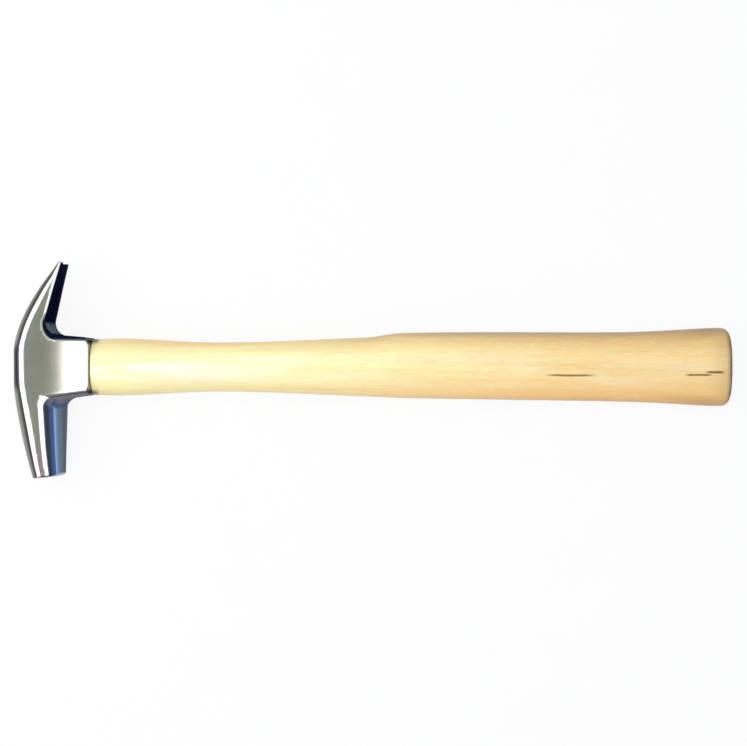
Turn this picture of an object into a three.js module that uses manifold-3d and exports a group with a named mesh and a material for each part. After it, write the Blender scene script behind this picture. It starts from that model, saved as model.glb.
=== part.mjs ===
// Farrier's driving hammer. A forged steel head with a round poll, an adze eye and a split claw hangs
// on a shaved hickory handle. A wooden wedge and two barbed steel wedges lock the handle in the eye.
// Millimetres, +Z up, the hammer lying on its side: the handle runs along +X from the crown of the
// head, the claw points to +Y and the striking face to -Y.
import * as THREE from "three";
import { mergeVertices } from "three/addons/utils/BufferGeometryUtils.js";
import Module from "manifold-3d";

const wasm = await Module();
wasm.setup();

// Head: places along it are from the handle's axis, depths are down from the crown
const FACE_REACH = 51; // handle's axis to the middle of the striking face
const FACE_DIAMETER = 14.8;
const FACE_CHAMFER = 1.4;
const FACE_TILT = 7; // degrees, the face turned towards the handle
const FACE_DROP = 7.8; // the crown's fall from the eye to the face
const POLL_SWEEP = 1.64; // exponent of that fall
const POLL_DEPTH = 23; // crown to underside at the root of the poll
const CLAW_REACH = 48.4; // handle's axis to the claw's tip
const CLAW_DROP = 21.1; // the crown's fall from the eye to the tip
const CLAW_CURL = 1.78; // exponent of that fall
const CLAW_DEPTH = 15.5; // crown to underside at the root of the claw
const CLAW_TIP_THICKNESS = 1.2;
const CLAW_TIP_WIDTH = 16;
const CROWN_FLAT = 12; // length of the level stretch of crown over the eye
const CHEEK_WIDTH = 25.4; // the head's greatest thickness, at the collar
const CHEEK_DRAFT = 1.1; // how much each cheek leans in from the collar to the crown
const ROOT_NARROWING = 0.6; // how much thinner each side is where poll and claw leave the collar
const CROWN_ROUND = 5.4; // radius of the crown's edges over the eye
const FACE_ROUND = 5.6; // the same edges at the face
const POLL_ROUND = 10; // radius of the edges under the root of the poll
const CLAW_ROUND = 2.6; // radius of the edges under the root of the claw
const TIP_ROUND = 0.4; // radius of all edges at the claw's tip

// Collar: the socket that reaches from the head down round the handle
const COLLAR_LENGTH = 35.9; // crown to the collar's end
const COLLAR_CLAW_SIDE = 14.8; // handle's axis to the side under the claw, at the root
const COLLAR_POLL_SIDE = 15.2; // the same under the poll
const COLLAR_END_WIDTH = 26.8; // along the head, at the end
const COLLAR_ROOT = 20; // depth at which the collar's full thickness begins
const COLLAR_ROUND = 3.6; // radius of its four corners
const COLLAR_CHAMFER = 0.8;
const CLAW_FILLET = 6.2; // radius between collar and claw
const POLL_FILLET = 3.6; // radius between collar and poll

// Nail slot between the two prongs of the claw
const SLOT_LENGTH = 26;
const SLOT_MOUTH = 5.2;
const SLOT_ROOT = 1.2;
const SLOT_BEVEL = 0.3; // how much wider each half is on the outer face than in the middle
const SLOT_LEAN = 22; // degrees, the claw's mean slope

// Eye: drawn in at the waist and flared at both mouths, its length along the head
const EYE_LENGTH = 20.4; // at the crown
const EYE_WIDTH = 15;
const EYE_WAIST_LENGTH = 18.6;
const EYE_WAIST_WIDTH = 13.4;
const EYE_WAIST_DEPTH = 14;
const EYE_COLLAR_LENGTH = 20.8; // at the collar's end
const EYE_COLLAR_WIDTH = 17.6;
const EYE_ROUND = 4.6;

// Handle: widths lie along the head, thicknesses across the cheeks, places are from the shoulder
const HANDLE_LENGTH = 293.5; // shoulder to butt
const SHOULDER_WIDTH = 26.2;
const SHOULDER_THICKNESS = 24;
const SHOULDER_ROUND = 1.6;
const SWELL_PLACE = 10.3;
const SWELL_WIDTH = 27.4;
const SWELL_THICKNESS = 24.4;
const WAIST_PLACE = 57.3;
const WAIST_WIDTH = 23.3;
const WAIST_THICKNESS = 19.4;
const NECK_PLACE = 127.3;
const NECK_WIDTH = 28;
const NECK_THICKNESS = 22;
const GRIP_PLACE = 143.3;
const GRIP_WIDTH = 29.2;
const GRIP_THICKNESS = 23;
const GRIP_STEP = 1.4; // how far the grip stands out on the claw's side where it begins
const PALM_PLACE = 248.3;
const PALM_WIDTH = 32.7;
const PALM_THICKNESS = 24;
const BUTT_WIDTH = 36.3;
const BUTT_THICKNESS = 25.4;
const BUTT_FLARE = 8; // butt to the widest place
const BUTT_ROUND = 3.6;
const HANDLE_SQUARENESS = 2.5; // exponent of the oval section, 2 for an ellipse

// Wedges
const TENON_SETBACK = 0.5; // crown to the handle's end grain
const KERF_MARGIN = 2; // how much deeper the saw kerf is than its wedge
const WOOD_WEDGE_DEPTH = 23;
const WOOD_WEDGE_THICKNESS = 3;
const WOOD_WEDGE_TIP = 0.8;
const STEEL_WEDGE_DEPTH = 14;
const STEEL_WEDGE_WIDTH = 10.4;
const STEEL_WEDGE_THICKNESS = 2.4;
const STEEL_WEDGE_TIP = 0.6;
const STEEL_WEDGE_PITCH = 10; // between the two, along the head
const BARB_COUNT = 3;
const BARB_STEP = 0.2; // how far each barb stands out
const CLEARANCE = 0.3; // between pieces that seat in one another

// Facets
const CORNER_STEPS = 6;
const OVAL_POINTS = 40;
const CLAW_STATIONS = 14;
const POLL_STATIONS = 10;
const EYE_STATIONS = 7;
const HANDLE_STATIONS = 34;

const STEEL = { color: 0x9a9c9e, roughness: 0.22, metalness: 1 };
const HICKORY = { color: 0xe8cd8e, roughness: 0.45, metalness: 0 };
const WEDGE_WOOD = { color: 0xa9743f, roughness: 0.6, metalness: 0 };
const WEDGE_STEEL = { color: 0x6f7073, roughness: 0.4, metalness: 1 };

// A curve that passes through [station, value] knots without overshooting between them.
function smooth(knots) {
  const s = knots.map((k) => k[0]);
  const v = knots.map((k) => k[1]);
  const slope = v.slice(1).map((next, i) => (next - v[i]) / (s[i + 1] - s[i]));
  const tangent = v.map((_, i) => {
    if (i === 0 || i === v.length - 1) return slope[Math.max(0, i - 1)];
    const [before, after] = [slope[i - 1], slope[i]];
    return before * after > 0 ? (2 * before * after) / (before + after) : 0;
  });
  return (at) => {
    const place = THREE.MathUtils.clamp(at, s[0], s.at(-1));
    const i = Math.max(0, Math.min(s.findIndex((x) => x >= place) - 1, s.length - 2));
    const h = s[i + 1] - s[i];
    const t = (place - s[i]) / h;
    return (
      v[i] * (1 + 2 * t) * (1 - t) ** 2 +
      tangent[i] * h * t * (1 - t) ** 2 +
      v[i + 1] * t * t * (3 - 2 * t) +
      tangent[i + 1] * h * t * t * (t - 1)
    );
  };
}

// A closed geometry skinned over rings of equally many points, with a flat fan on each end.
function loft(rings) {
  const count = rings[0].length;
  const points = rings.flat();
  const index = [];
  for (let start = 0; start + count < points.length; start += count) {
    for (let i = 0; i < count; i++) {
      const a = start + i;
      const b = start + ((i + 1) % count);
      index.push(a, b, a + count, b, b + count, a + count);
    }
  }
  const fan = (ring, first, turn) => {
    const middle = ring.reduce((sum, p) => sum.add(p), new THREE.Vector3()).divideScalar(count);
    points.push(middle);
    for (let i = 0; i < count; i++) {
      const edge = [first + i, first + ((i + 1) % count)];
      index.push(points.length - 1, edge[turn], edge[1 - turn]);
    }
  };
  const last = points.length - count;
  fan(rings[0], 0, 1);
  fan(rings.at(-1), last, 0);
  return new THREE.BufferGeometry().setFromPoints(points).setIndex(index);
}

// A geometry as a solid whose faces point out, whichever way its rings run.
function solidOf(geometry) {
  geometry.deleteAttribute("normal");
  geometry.deleteAttribute("uv");
  const merged = mergeVertices(geometry, 1e-4);
  const make = (triVerts) =>
    new wasm.Manifold(
      new wasm.Mesh({ numProp: 3, vertProperties: merged.attributes.position.array, triVerts }),
    );
  const made = make(new Uint32Array(merged.index.array));
  return made.volume() > 0 ? made : make(new Uint32Array(merged.index.array).reverse());
}

function meshOf(solid, name, finish) {
  const { vertProperties, triVerts } = solid.getMesh();
  const geometry = new THREE.BufferGeometry()
    .setAttribute("position", new THREE.BufferAttribute(vertProperties, 3))
    .setIndex(new THREE.BufferAttribute(triVerts, 1));
  geometry.computeVertexNormals();
  const mesh = new THREE.Mesh(geometry, new THREE.MeshStandardMaterial(finish));
  mesh.name = name;
  return mesh;
}

// Equally spaced places from one to another, both ends included.
function span(from, to, steps) {
  return Array.from({ length: steps + 1 }, (_, i) => from + ((to - from) * i) / steps);
}

const radians = THREE.MathUtils.degToRad;
const quarterTurn = span(0, Math.PI / 2, CORNER_STEPS);

// A ring square to the handle: from one Y to another, a thickness in Z and one radius for its corners.
function socketRing(x, from, to, thickness, round) {
  const ring = [];
  const corners = [[to, 1], [from, 1], [from, -1], [to, -1]];
  corners.forEach(([y, side], quarter) => {
    const centreY = y === to ? y - round : y + round;
    const centreZ = side * (thickness / 2 - round);
    for (const angle of quarterTurn) {
      const turn = angle + (quarter * Math.PI) / 2;
      const [alongY, alongZ] = [round * Math.cos(turn), round * Math.sin(turn)];
      ring.push(new THREE.Vector3(x, centreY + alongY, centreZ + alongZ));
    }
  });
  return ring;
}

// The bar: poll, cheeks and claw in one sweep along the head.
const clawRoot = COLLAR_CLAW_SIDE + CLAW_FILLET;
const pollRoot = COLLAR_POLL_SIDE + POLL_FILLET;
const cheek = CHEEK_WIDTH / 2;

function crownAt(y) {
  const past = Math.max(0, Math.abs(y) - CROWN_FLAT / 2);
  const [drop, reach, power] =
    y > 0 ? [CLAW_DROP, CLAW_REACH, CLAW_CURL] : [FACE_DROP, FACE_REACH, POLL_SWEEP];
  return drop * (past / (reach - CROWN_FLAT / 2)) ** power;
}

// The underside is straight under poll and claw. The poll's turns into the collar through a fillet,
// and inside the collar the two are joined by a ramp.
function underAt(y) {
  if (y <= 0) {
    const past = Math.max(0, -y - pollRoot);
    const fall = ((FACE_DROP + FACE_DIAMETER - POLL_DEPTH) * past) / (FACE_REACH - pollRoot);
    return POLL_DEPTH + fall + POLL_FILLET * (1 - Math.sqrt(1 - intoFillet(y) ** 2));
  }
  const past = Math.max(0, y - clawRoot);
  const rise = ((CLAW_DROP + CLAW_TIP_THICKNESS - CLAW_DEPTH) * past) / (CLAW_REACH - clawRoot);
  const ramp = THREE.MathUtils.smoothstep(y, COLLAR_CLAW_SIDE / 2, COLLAR_CLAW_SIDE);
  return THREE.MathUtils.lerp(POLL_DEPTH + POLL_FILLET, CLAW_DEPTH + rise, ramp);
}

// How far a place lies into the poll's fillet, 0 at its start and 1 at the collar.
function intoFillet(y) {
  return THREE.MathUtils.clamp((pollRoot + y) / POLL_FILLET, 0, 1);
}

const halfWidthAt = smooth([
  [-FACE_REACH, FACE_DIAMETER / 2],
  [-COLLAR_POLL_SIDE, cheek - ROOT_NARROWING],
  [0, cheek],
  [COLLAR_CLAW_SIDE, cheek - ROOT_NARROWING],
  [CLAW_REACH, CLAW_TIP_WIDTH / 2],
]);
const draftAt = smooth([
  [-FACE_REACH, 0],
  [-pollRoot, CHEEK_DRAFT],
  [clawRoot, CHEEK_DRAFT],
  [CLAW_REACH, 0],
]);
const crownRoundAt = smooth([
  [-FACE_REACH, FACE_ROUND],
  [0, CROWN_ROUND],
  [clawRoot, CROWN_ROUND],
  [CLAW_REACH, TIP_ROUND],
]);
const underRoundAt = smooth([
  [-FACE_REACH, FACE_DIAMETER / 2],
  [-pollRoot, POLL_ROUND],
  [0, CLAW_ROUND],
  [clawRoot, CLAW_ROUND],
  [CLAW_REACH, TIP_ROUND],
]);

const faceMiddle = FACE_DROP + FACE_DIAMETER / 2;

function barRing(y, inset = 0) {
  const crown = crownAt(y) + inset;
  const under = underAt(y) - inset;
  const half = halfWidthAt(y) - inset;
  const crownHalf = half - draftAt(y);
  const crownRound = Math.min(crownRoundAt(y) - inset, (under - crown) * 0.45);
  const underRound = Math.min(underRoundAt(y) - inset, under - crown - crownRound, half * 0.99);
  const tilt = Math.tan(radians(FACE_TILT)) * THREE.MathUtils.smoothstep(-y, pollRoot, FACE_REACH);
  const outline = [
    ...quarterTurn.map((a) => [
      crown + crownRound * (1 - Math.cos(a)),
      crownHalf - crownRound * (1 - Math.sin(a)),
    ]),
    ...quarterTurn.map((a) => [
      under - underRound * (1 - Math.sin(a)),
      half - underRound * (1 - Math.cos(a)),
    ]),
  ];
  const mirrored = outline.map(([x, z]) => [x, -z]).reverse();
  return [...outline, ...mirrored].map(
    ([x, z]) => new THREE.Vector3(x, y + tilt * (x - faceMiddle), z),
  );
}

const barStations = [
  ...span(-FACE_REACH + FACE_CHAMFER, -pollRoot, POLL_STATIONS),
  ...quarterTurn.slice(1).map((a) => -pollRoot + POLL_FILLET * Math.sin(a)),
  ...span(-COLLAR_POLL_SIDE, COLLAR_CLAW_SIDE, 2 * EYE_STATIONS).slice(1, -1),
  ...span(COLLAR_CLAW_SIDE, CLAW_REACH, CLAW_STATIONS),
];
const bar = solidOf(
  loft([barRing(-FACE_REACH, FACE_CHAMFER), ...barStations.map((y) => barRing(y))]),
);

// The collar grows out of the cheeks, sweeps away from the claw and narrows towards its end.
const collarStart = CLAW_DEPTH * 0.8;
const collarThicknessAt = smooth([
  [collarStart, CHEEK_WIDTH - 2.5 * CHEEK_DRAFT],
  [COLLAR_ROOT, CHEEK_WIDTH],
  [COLLAR_LENGTH, CHEEK_WIDTH],
]);

function collarRing(x, inset = 0) {
  const along = THREE.MathUtils.clamp((x - COLLAR_ROOT) / (COLLAR_LENGTH - COLLAR_ROOT), 0, 1);
  const side = (root) => THREE.MathUtils.lerp(root, COLLAR_END_WIDTH / 2, along) - inset;
  const above = THREE.MathUtils.clamp((CLAW_DEPTH + CLAW_FILLET - x) / CLAW_FILLET, 0, 1);
  const flare = CLAW_FILLET * (1 - Math.sqrt(1 - above ** 2));
  const thickness = collarThicknessAt(x) - 2 * inset;
  const round = COLLAR_ROUND - inset;
  return socketRing(x, -side(COLLAR_POLL_SIDE), side(COLLAR_CLAW_SIDE) + flare, thickness, round);
}

const collar = solidOf(
  loft([
    collarRing(collarStart),
    ...quarterTurn.map((a) => collarRing(CLAW_DEPTH + CLAW_FILLET * (1 - Math.cos(a)))),
    collarRing(COLLAR_LENGTH - COLLAR_CHAMFER),
    collarRing(COLLAR_LENGTH, COLLAR_CHAMFER),
  ]),
);

// Eye and tenon share one taper; the tenon keeps clear of the eye all round.
const eyeLengthAt = smooth([
  [0, EYE_LENGTH],
  [EYE_WAIST_DEPTH, EYE_WAIST_LENGTH],
  [COLLAR_LENGTH, EYE_COLLAR_LENGTH],
]);
const eyeWidthAt = smooth([
  [0, EYE_WIDTH],
  [EYE_WAIST_DEPTH, EYE_WAIST_WIDTH],
  [COLLAR_LENGTH, EYE_COLLAR_WIDTH],
]);

function eyeLoft(from, to, gap) {
  return loft(
    span(from, to, EYE_STATIONS).map((x) => {
      const reach = eyeLengthAt(x) / 2 - gap;
      return socketRing(x, -reach, reach, eyeWidthAt(x) - 2 * gap, EYE_ROUND - gap);
    }),
  );
}

// The nail slot widens from a round root to its mouth and flares towards both faces of the claw.
function slotRing(height, flare) {
  const rootHalf = SLOT_ROOT / 2 + flare;
  const slope = (SLOT_MOUTH - SLOT_ROOT) / 2 / SLOT_LENGTH;
  const beyond = SLOT_LENGTH * 0.3;
  const mouthHalf = rootHalf + slope * (SLOT_LENGTH + beyond);
  const ring = [new THREE.Vector3(height, beyond, mouthHalf)];
  for (const angle of span(0, Math.PI, CORNER_STEPS)) {
    const place = -SLOT_LENGTH + rootHalf * (1 - Math.sin(angle));
    ring.push(new THREE.Vector3(height, place, rootHalf * Math.cos(angle)));
  }
  ring.push(new THREE.Vector3(height, beyond, -mouthHalf));
  return ring;
}

const slotReach = CLAW_DROP;
const slotGeometry = loft([
  slotRing(-slotReach, SLOT_BEVEL * 4),
  slotRing(0, SLOT_BEVEL),
  slotRing(slotReach, SLOT_BEVEL),
]);
slotGeometry.rotateZ(-radians(SLOT_LEAN));
slotGeometry.translate(CLAW_DROP, CLAW_REACH, 0);

const headSolid = bar
  .add(collar)
  .subtract(solidOf(eyeLoft(-1, COLLAR_LENGTH + 1, 0)))
  .subtract(solidOf(slotGeometry));

// Handle: an oval that swells, narrows and swells again, with both ends rounded over.
const shoulder = COLLAR_LENGTH + CLEARANCE;
const buttPlace = HANDLE_LENGTH - BUTT_FLARE;
const handleWidthAt = smooth([
  [0, SHOULDER_WIDTH],
  [SWELL_PLACE, SWELL_WIDTH],
  [WAIST_PLACE, WAIST_WIDTH],
  [NECK_PLACE, NECK_WIDTH],
  [GRIP_PLACE, GRIP_WIDTH],
  [PALM_PLACE, PALM_WIDTH],
  [buttPlace, BUTT_WIDTH],
]);
const handleThicknessAt = smooth([
  [0, SHOULDER_THICKNESS],
  [SWELL_PLACE, SWELL_THICKNESS],
  [WAIST_PLACE, WAIST_THICKNESS],
  [NECK_PLACE, NECK_THICKNESS],
  [GRIP_PLACE, GRIP_THICKNESS],
  [PALM_PLACE, PALM_THICKNESS],
  [buttPlace, BUTT_THICKNESS],
]);
const gripStepAt = smooth([[NECK_PLACE, 0], [GRIP_PLACE, GRIP_STEP], [PALM_PLACE, 0]]);

function handleRing(place, inset = 0) {
  const half = handleWidthAt(place) / 2 - inset;
  const thick = handleThicknessAt(place) / 2 - inset;
  const power = 2 / HANDLE_SQUARENESS;
  return span(0, 2 * Math.PI, OVAL_POINTS)
    .slice(1)
    .map((angle) => {
      const [c, s] = [Math.cos(angle), Math.sin(angle)];
      const reach = c > 0 ? half + gripStepAt(place) : half;
      const y = reach * Math.sign(c) * Math.abs(c) ** power;
      const z = thick * Math.sign(s) * Math.abs(s) ** power;
      return new THREE.Vector3(shoulder + place, y, z);
    });
}

const roundEnd = (end, round, towards) =>
  quarterTurn.map((a) => handleRing(end + towards * round * (1 - Math.sin(a)), round * (1 - Math.cos(a))));
const shaft = solidOf(
  loft([
    ...roundEnd(0, SHOULDER_ROUND, 1).reverse(),
    ...span(SHOULDER_ROUND, HANDLE_LENGTH - BUTT_ROUND, HANDLE_STATIONS)
      .slice(1, -1)
      .map((s) => handleRing(s)),
    ...roundEnd(HANDLE_LENGTH, BUTT_ROUND, -1),
  ]),
);

// A wedge driven in from the end grain, thin in Z. Its profile lists depths and thicknesses.
function wedgeLoft(profile, width, gap) {
  return loft(
    profile.map(([depth, thickness]) => {
      const x = TENON_SETBACK + depth;
      const [side, half] = [width / 2 + gap, thickness / 2 + gap];
      return [[side, half], [-side, half], [-side, -half], [side, -half]].map(
        ([y, z]) => new THREE.Vector3(x, y, z),
      );
    }),
  );
}

const kerf = wedgeLoft(
  [[-1, WOOD_WEDGE_THICKNESS], [0, WOOD_WEDGE_THICKNESS], [WOOD_WEDGE_DEPTH + KERF_MARGIN, WOOD_WEDGE_TIP]],
  EYE_COLLAR_LENGTH,
  CLEARANCE,
);
const woodWedge = wedgeLoft(
  [[0, WOOD_WEDGE_THICKNESS], [WOOD_WEDGE_DEPTH, WOOD_WEDGE_TIP]],
  EYE_WAIST_LENGTH - 2 * CLEARANCE,
  0,
);

// The steel wedges stand crosswise through the wooden one, stepped so that they can't back out.
const steelTaperAt = (depth) =>
  THREE.MathUtils.lerp(STEEL_WEDGE_THICKNESS, STEEL_WEDGE_TIP, depth / STEEL_WEDGE_DEPTH);
const barbs = span(0, STEEL_WEDGE_DEPTH, BARB_COUNT).slice(0, -1).flatMap((top) => {
  const below = top + STEEL_WEDGE_DEPTH / BARB_COUNT;
  const bottom = Math.min(below, STEEL_WEDGE_DEPTH) - BARB_STEP;
  return [[top, steelTaperAt(top)], [bottom, steelTaperAt(bottom) - 2 * BARB_STEP]];
});
const pocketProfile = [
  [-1, STEEL_WEDGE_THICKNESS],
  [0, STEEL_WEDGE_THICKNESS],
  [STEEL_WEDGE_DEPTH + CLEARANCE, STEEL_WEDGE_TIP],
];

function acrossAt(y, geometry) {
  return solidOf(geometry.rotateX(Math.PI / 2).translate(0, y, 0));
}

const steelPlaces = [STEEL_WEDGE_PITCH / 2, -STEEL_WEDGE_PITCH / 2];
const [frontSteel, rearSteel] = steelPlaces.map((y) => acrossAt(y, wedgeLoft(barbs, STEEL_WEDGE_WIDTH, 0)));
const [frontPocket, rearPocket] = steelPlaces.map((y) =>
  acrossAt(y, wedgeLoft(pocketProfile, STEEL_WEDGE_WIDTH, CLEARANCE)),
);

const tenon = solidOf(eyeLoft(TENON_SETBACK, shoulder + 2 * SHOULDER_ROUND, CLEARANCE));
const handleSolid = shaft.add(tenon).subtract(solidOf(kerf)).subtract(frontPocket).subtract(rearPocket);
const woodSolid = solidOf(woodWedge).subtract(frontPocket).subtract(rearPocket);

// The hammer lies on its side with the middle of its box on the origin.
const main = new THREE.Group();
main.name = "driving_hammer";
main.add(
  meshOf(headSolid, "hammer_head", STEEL),
  meshOf(handleSolid, "handle", HICKORY),
  meshOf(woodSolid, "wooden_wedge", WEDGE_WOOD),
  meshOf(frontSteel, "steel_wedge_front", WEDGE_STEEL),
  meshOf(rearSteel, "steel_wedge_rear", WEDGE_STEEL),
);
const box = new THREE.Box3().setFromObject(main);
const middle = box.getCenter(new THREE.Vector3());
for (const mesh of main.children) {
  mesh.geometry.translate(-middle.x, -middle.y, -box.min.z);
}

export default main;
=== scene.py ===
import math

import bmesh
import bpy
from bpy.props import FloatProperty, FloatVectorProperty, IntProperty, PointerProperty
from mathutils import Matrix, Vector


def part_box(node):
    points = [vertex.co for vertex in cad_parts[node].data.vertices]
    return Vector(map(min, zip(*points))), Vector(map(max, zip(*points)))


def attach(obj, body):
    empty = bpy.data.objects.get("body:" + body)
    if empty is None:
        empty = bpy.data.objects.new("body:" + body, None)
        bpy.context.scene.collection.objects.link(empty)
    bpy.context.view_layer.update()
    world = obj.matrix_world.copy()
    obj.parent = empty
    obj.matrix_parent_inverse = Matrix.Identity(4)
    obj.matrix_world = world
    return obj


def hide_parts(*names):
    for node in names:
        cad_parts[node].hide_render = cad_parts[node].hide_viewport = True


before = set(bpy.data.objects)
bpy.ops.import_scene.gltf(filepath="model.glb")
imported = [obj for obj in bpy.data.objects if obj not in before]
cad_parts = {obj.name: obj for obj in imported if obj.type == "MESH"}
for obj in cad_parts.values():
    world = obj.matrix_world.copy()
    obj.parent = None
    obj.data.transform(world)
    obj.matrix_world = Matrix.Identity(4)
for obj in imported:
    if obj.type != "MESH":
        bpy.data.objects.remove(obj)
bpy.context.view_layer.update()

bl_info = {
    "name": "Driving hammer",
    "version": (1, 0, 0),
    "blender": (4, 5, 0),
    "location": "View3D > Sidebar > Hammer",
    "description": "Models a farrier's driving hammer piece by piece and sets it on a pale studio floor",
    "category": "Mesh",
}

MM = 0.001


def length(millimetres, description):
    """A size in metres, given in millimetres."""
    return FloatProperty(
        description=description,
        default=millimetres * MM,
        min=0.0,
        precision=5,
        subtype="DISTANCE",
        unit="LENGTH",
    )


def angle(degrees, description):
    """An angle, given in degrees."""
    default = math.radians(degrees)
    return FloatProperty(description=description, default=default, subtype="ANGLE", unit="ROTATION")


def number(value, description, least=0.0):
    """A plain number, such as an exponent, a share or a lamp's strength."""
    return FloatProperty(description=description, default=value, min=least)


def tone(colour, description):
    """A linear colour."""
    return FloatVectorProperty(
        description=description, default=colour, size=3, min=0.0, max=1.0, subtype="COLOR"
    )


class HammerHeadSizes(bpy.types.PropertyGroup):
    """Sizes of the forged head. Depths are down from the crown, reaches are from the handle's axis."""

    face_reach: length(50.9, "Handle's axis to the middle of the striking face")
    face_diameter: length(14.8, "Depth of the poll at its striking face")
    face_round: length(1.4, "Rounding of the striking face's rim")
    face_crown: length(0.15, "How far the middle of the striking face stands proud")
    face_tilt: angle(7, "How far the striking face turns towards the handle")
    face_drop: length(7.8, "Fall of the crown from the eye to the face")
    poll_sweep: number(1.64, "Exponent of the fall to the face")
    poll_depth: length(23, "Crown to underside at the root of the poll")
    poll_round: length(10.7, "Radius under the root of the poll")
    poll_ease: number(1.6, "Exponent with which the collar's rounding grows into the poll's")
    poll_tip_round: length(7.4, "Radius under the poll at its face")
    claw_reach: length(48.4, "Handle's axis to the claw's tip")
    claw_drop: length(21.1, "Fall of the crown from the eye to the tip")
    claw_curl: number(1.78, "Exponent of the fall to the tip")
    claw_depth: length(15.5, "Crown to underside at the root of the claw")
    claw_tip: length(1.2, "Thickness of the claw's tip")
    claw_round: length(1.2, "Radius of the edges under the claw")
    claw_ridge: number(0.82, "Where the claw's side comes to a ridge, from crown to underside")
    crown_flat: length(12, "Level stretch of crown over the eye")
    crown_round: length(6, "Radius of the crown's edges")
    cheek_half: length(12.7, "Half of the head's greatest thickness")
    tip_half: length(8, "Half of the claw's width at its tip")
    cheek_full: length(10, "Handle's axis to where the cheeks begin to thin")
    cheek_root: length(19, "Handle's axis to the roots of poll and claw")
    root_narrowing: length(0.65, "How much thinner each side is at those roots")
    cheek_lean: angle(4.6, "How far each cheek leans in towards the crown")
    cheek_fold: length(22.3, "Depth at which the collar's flat turns into the leaning cheek")
    fold_reach: length(20, "Handle's axis to where the fold leaves its level")
    fold_softness: length(4.4, "How gently the flat turns")
    collar_length: length(35.9, "Crown to the collar's end")
    collar_claw_side: length(14.8, "Handle's axis to the collar's root under the claw")
    collar_poll_side: length(15.2, "Handle's axis to the collar's root under the poll")
    collar_claw_end: length(13.4, "Handle's axis to the collar's end under the claw")
    collar_poll_end: length(12.9, "Handle's axis to the collar's end under the poll")
    collar_root: length(20, "Depth at which the collar begins")
    collar_round: length(3.3, "Radius of the collar's long edges under the claw, at the root")
    collar_tip_round: length(2.5, "Radius of the same edges at the collar's end")
    collar_poll_round: length(3.6, "Radius of the collar's long edges under the poll")
    collar_end_round: length(0.5, "Radius of the collar's rim")
    collar_corner: length(3.4, "Radius of the collar's corners at its end")
    flat_corner: length(1.6, "Radius of the corners of the collar's flat")
    claw_fillet: length(6.2, "Radius between collar and claw")
    poll_fillet: length(3.6, "Radius between collar and poll")
    slot_length: length(26, "Nail slot from the tip to its root")
    slot_mouth: length(5.2, "Nail slot's width at the tip")
    slot_root: length(1.2, "Nail slot's width at its root")
    slot_bevel: length(0.3, "How much wider each half of the slot gets outwards")
    slot_lean: angle(22, "Mean slope of the claw")
    eye_length: length(20.4, "Eye along the head at the crown")
    eye_width: length(15, "Eye across the head at the crown")
    eye_waist_length: length(18.6, "Eye along the head at its waist")
    eye_waist_width: length(13.4, "Eye across the head at its waist")
    eye_waist_depth: length(14, "Crown to the eye's waist")
    eye_collar_length: length(20.8, "Eye along the head at the collar's end")
    eye_collar_width: length(17.6, "Eye across the head at the collar's end")
    eye_round: length(4.6, "Radius of the eye's corners")
    eye_lip: length(0.5, "Chamfer round the eye's mouth")


class HammerHandleSizes(bpy.types.PropertyGroup):
    """Sizes of the shaved handle. Widths lie along the head, thicknesses across the cheeks."""

    clearance: length(0.3, "Gap between the collar and the handle's shoulder")
    length_over_all: length(293.5, "Shoulder to butt")
    shoulder_width: length(25.8, "Width at the shoulder")
    shoulder_thickness: length(24, "Thickness at the shoulder")
    shoulder_round: length(0.7, "Radius of the shoulder's rim")
    swell_place: length(10.3, "Shoulder to the swell")
    swell_width: length(26.5, "Width at the swell")
    swell_thickness: length(24.4, "Thickness at the swell")
    waist_place: length(57.3, "Shoulder to the waist")
    waist_width: length(22.8, "Width at the waist")
    waist_thickness: length(19.4, "Thickness at the waist")
    neck_place: length(127.3, "Shoulder to the start of the grip")
    neck_width: length(27.5, "Width at the start of the grip")
    neck_thickness: length(22, "Thickness at the start of the grip")
    grip_place: length(143.3, "Shoulder to the full grip")
    grip_width: length(28.8, "Width at the full grip")
    grip_thickness: length(23, "Thickness at the full grip")
    grip_step: length(1.4, "How far the grip stands out on the claw's side")
    palm_place: length(248.3, "Shoulder to the palm")
    palm_width: length(32.5, "Width at the palm")
    palm_thickness: length(24, "Thickness at the palm")
    butt_width: length(36.3, "Width at the butt's flare")
    butt_thickness: length(25.4, "Thickness at the butt's flare")
    butt_flare: length(8, "Butt to its widest place")
    butt_round: length(3.6, "Radius of the butt's rim")
    squareness: number(2.5, "Exponent of the oval section, 2 for an ellipse", least=2.0)
    tenon_setback: length(0.5, "Crown to the tenon's end grain")
    tenon_gap: length(0.15, "Gap between the tenon and the eye")


class HammerWedgeSizes(bpy.types.PropertyGroup):
    """Sizes of the wooden wedge and of the two steel wedges driven across it."""

    wood_depth: length(23, "How deep the wooden wedge reaches")
    wood_thickness: length(3, "Thickness at the end grain")
    wood_tip: length(0.8, "Thickness at its tip")
    steel_depth: length(14, "How deep the steel wedges reach")
    steel_width: length(10.4, "Width of a steel wedge")
    steel_thickness: length(2.4, "Thickness at the end grain")
    steel_tip: length(0.6, "Thickness at its tip")
    steel_pitch: length(10, "Between the two steel wedges, along the head")
    barb_step: length(0.2, "How far each barb stands out")
    barb_count: IntProperty(description="Barbs along a steel wedge", default=3, min=1)
    gap: length(0.1, "Gap round each wedge")


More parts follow.
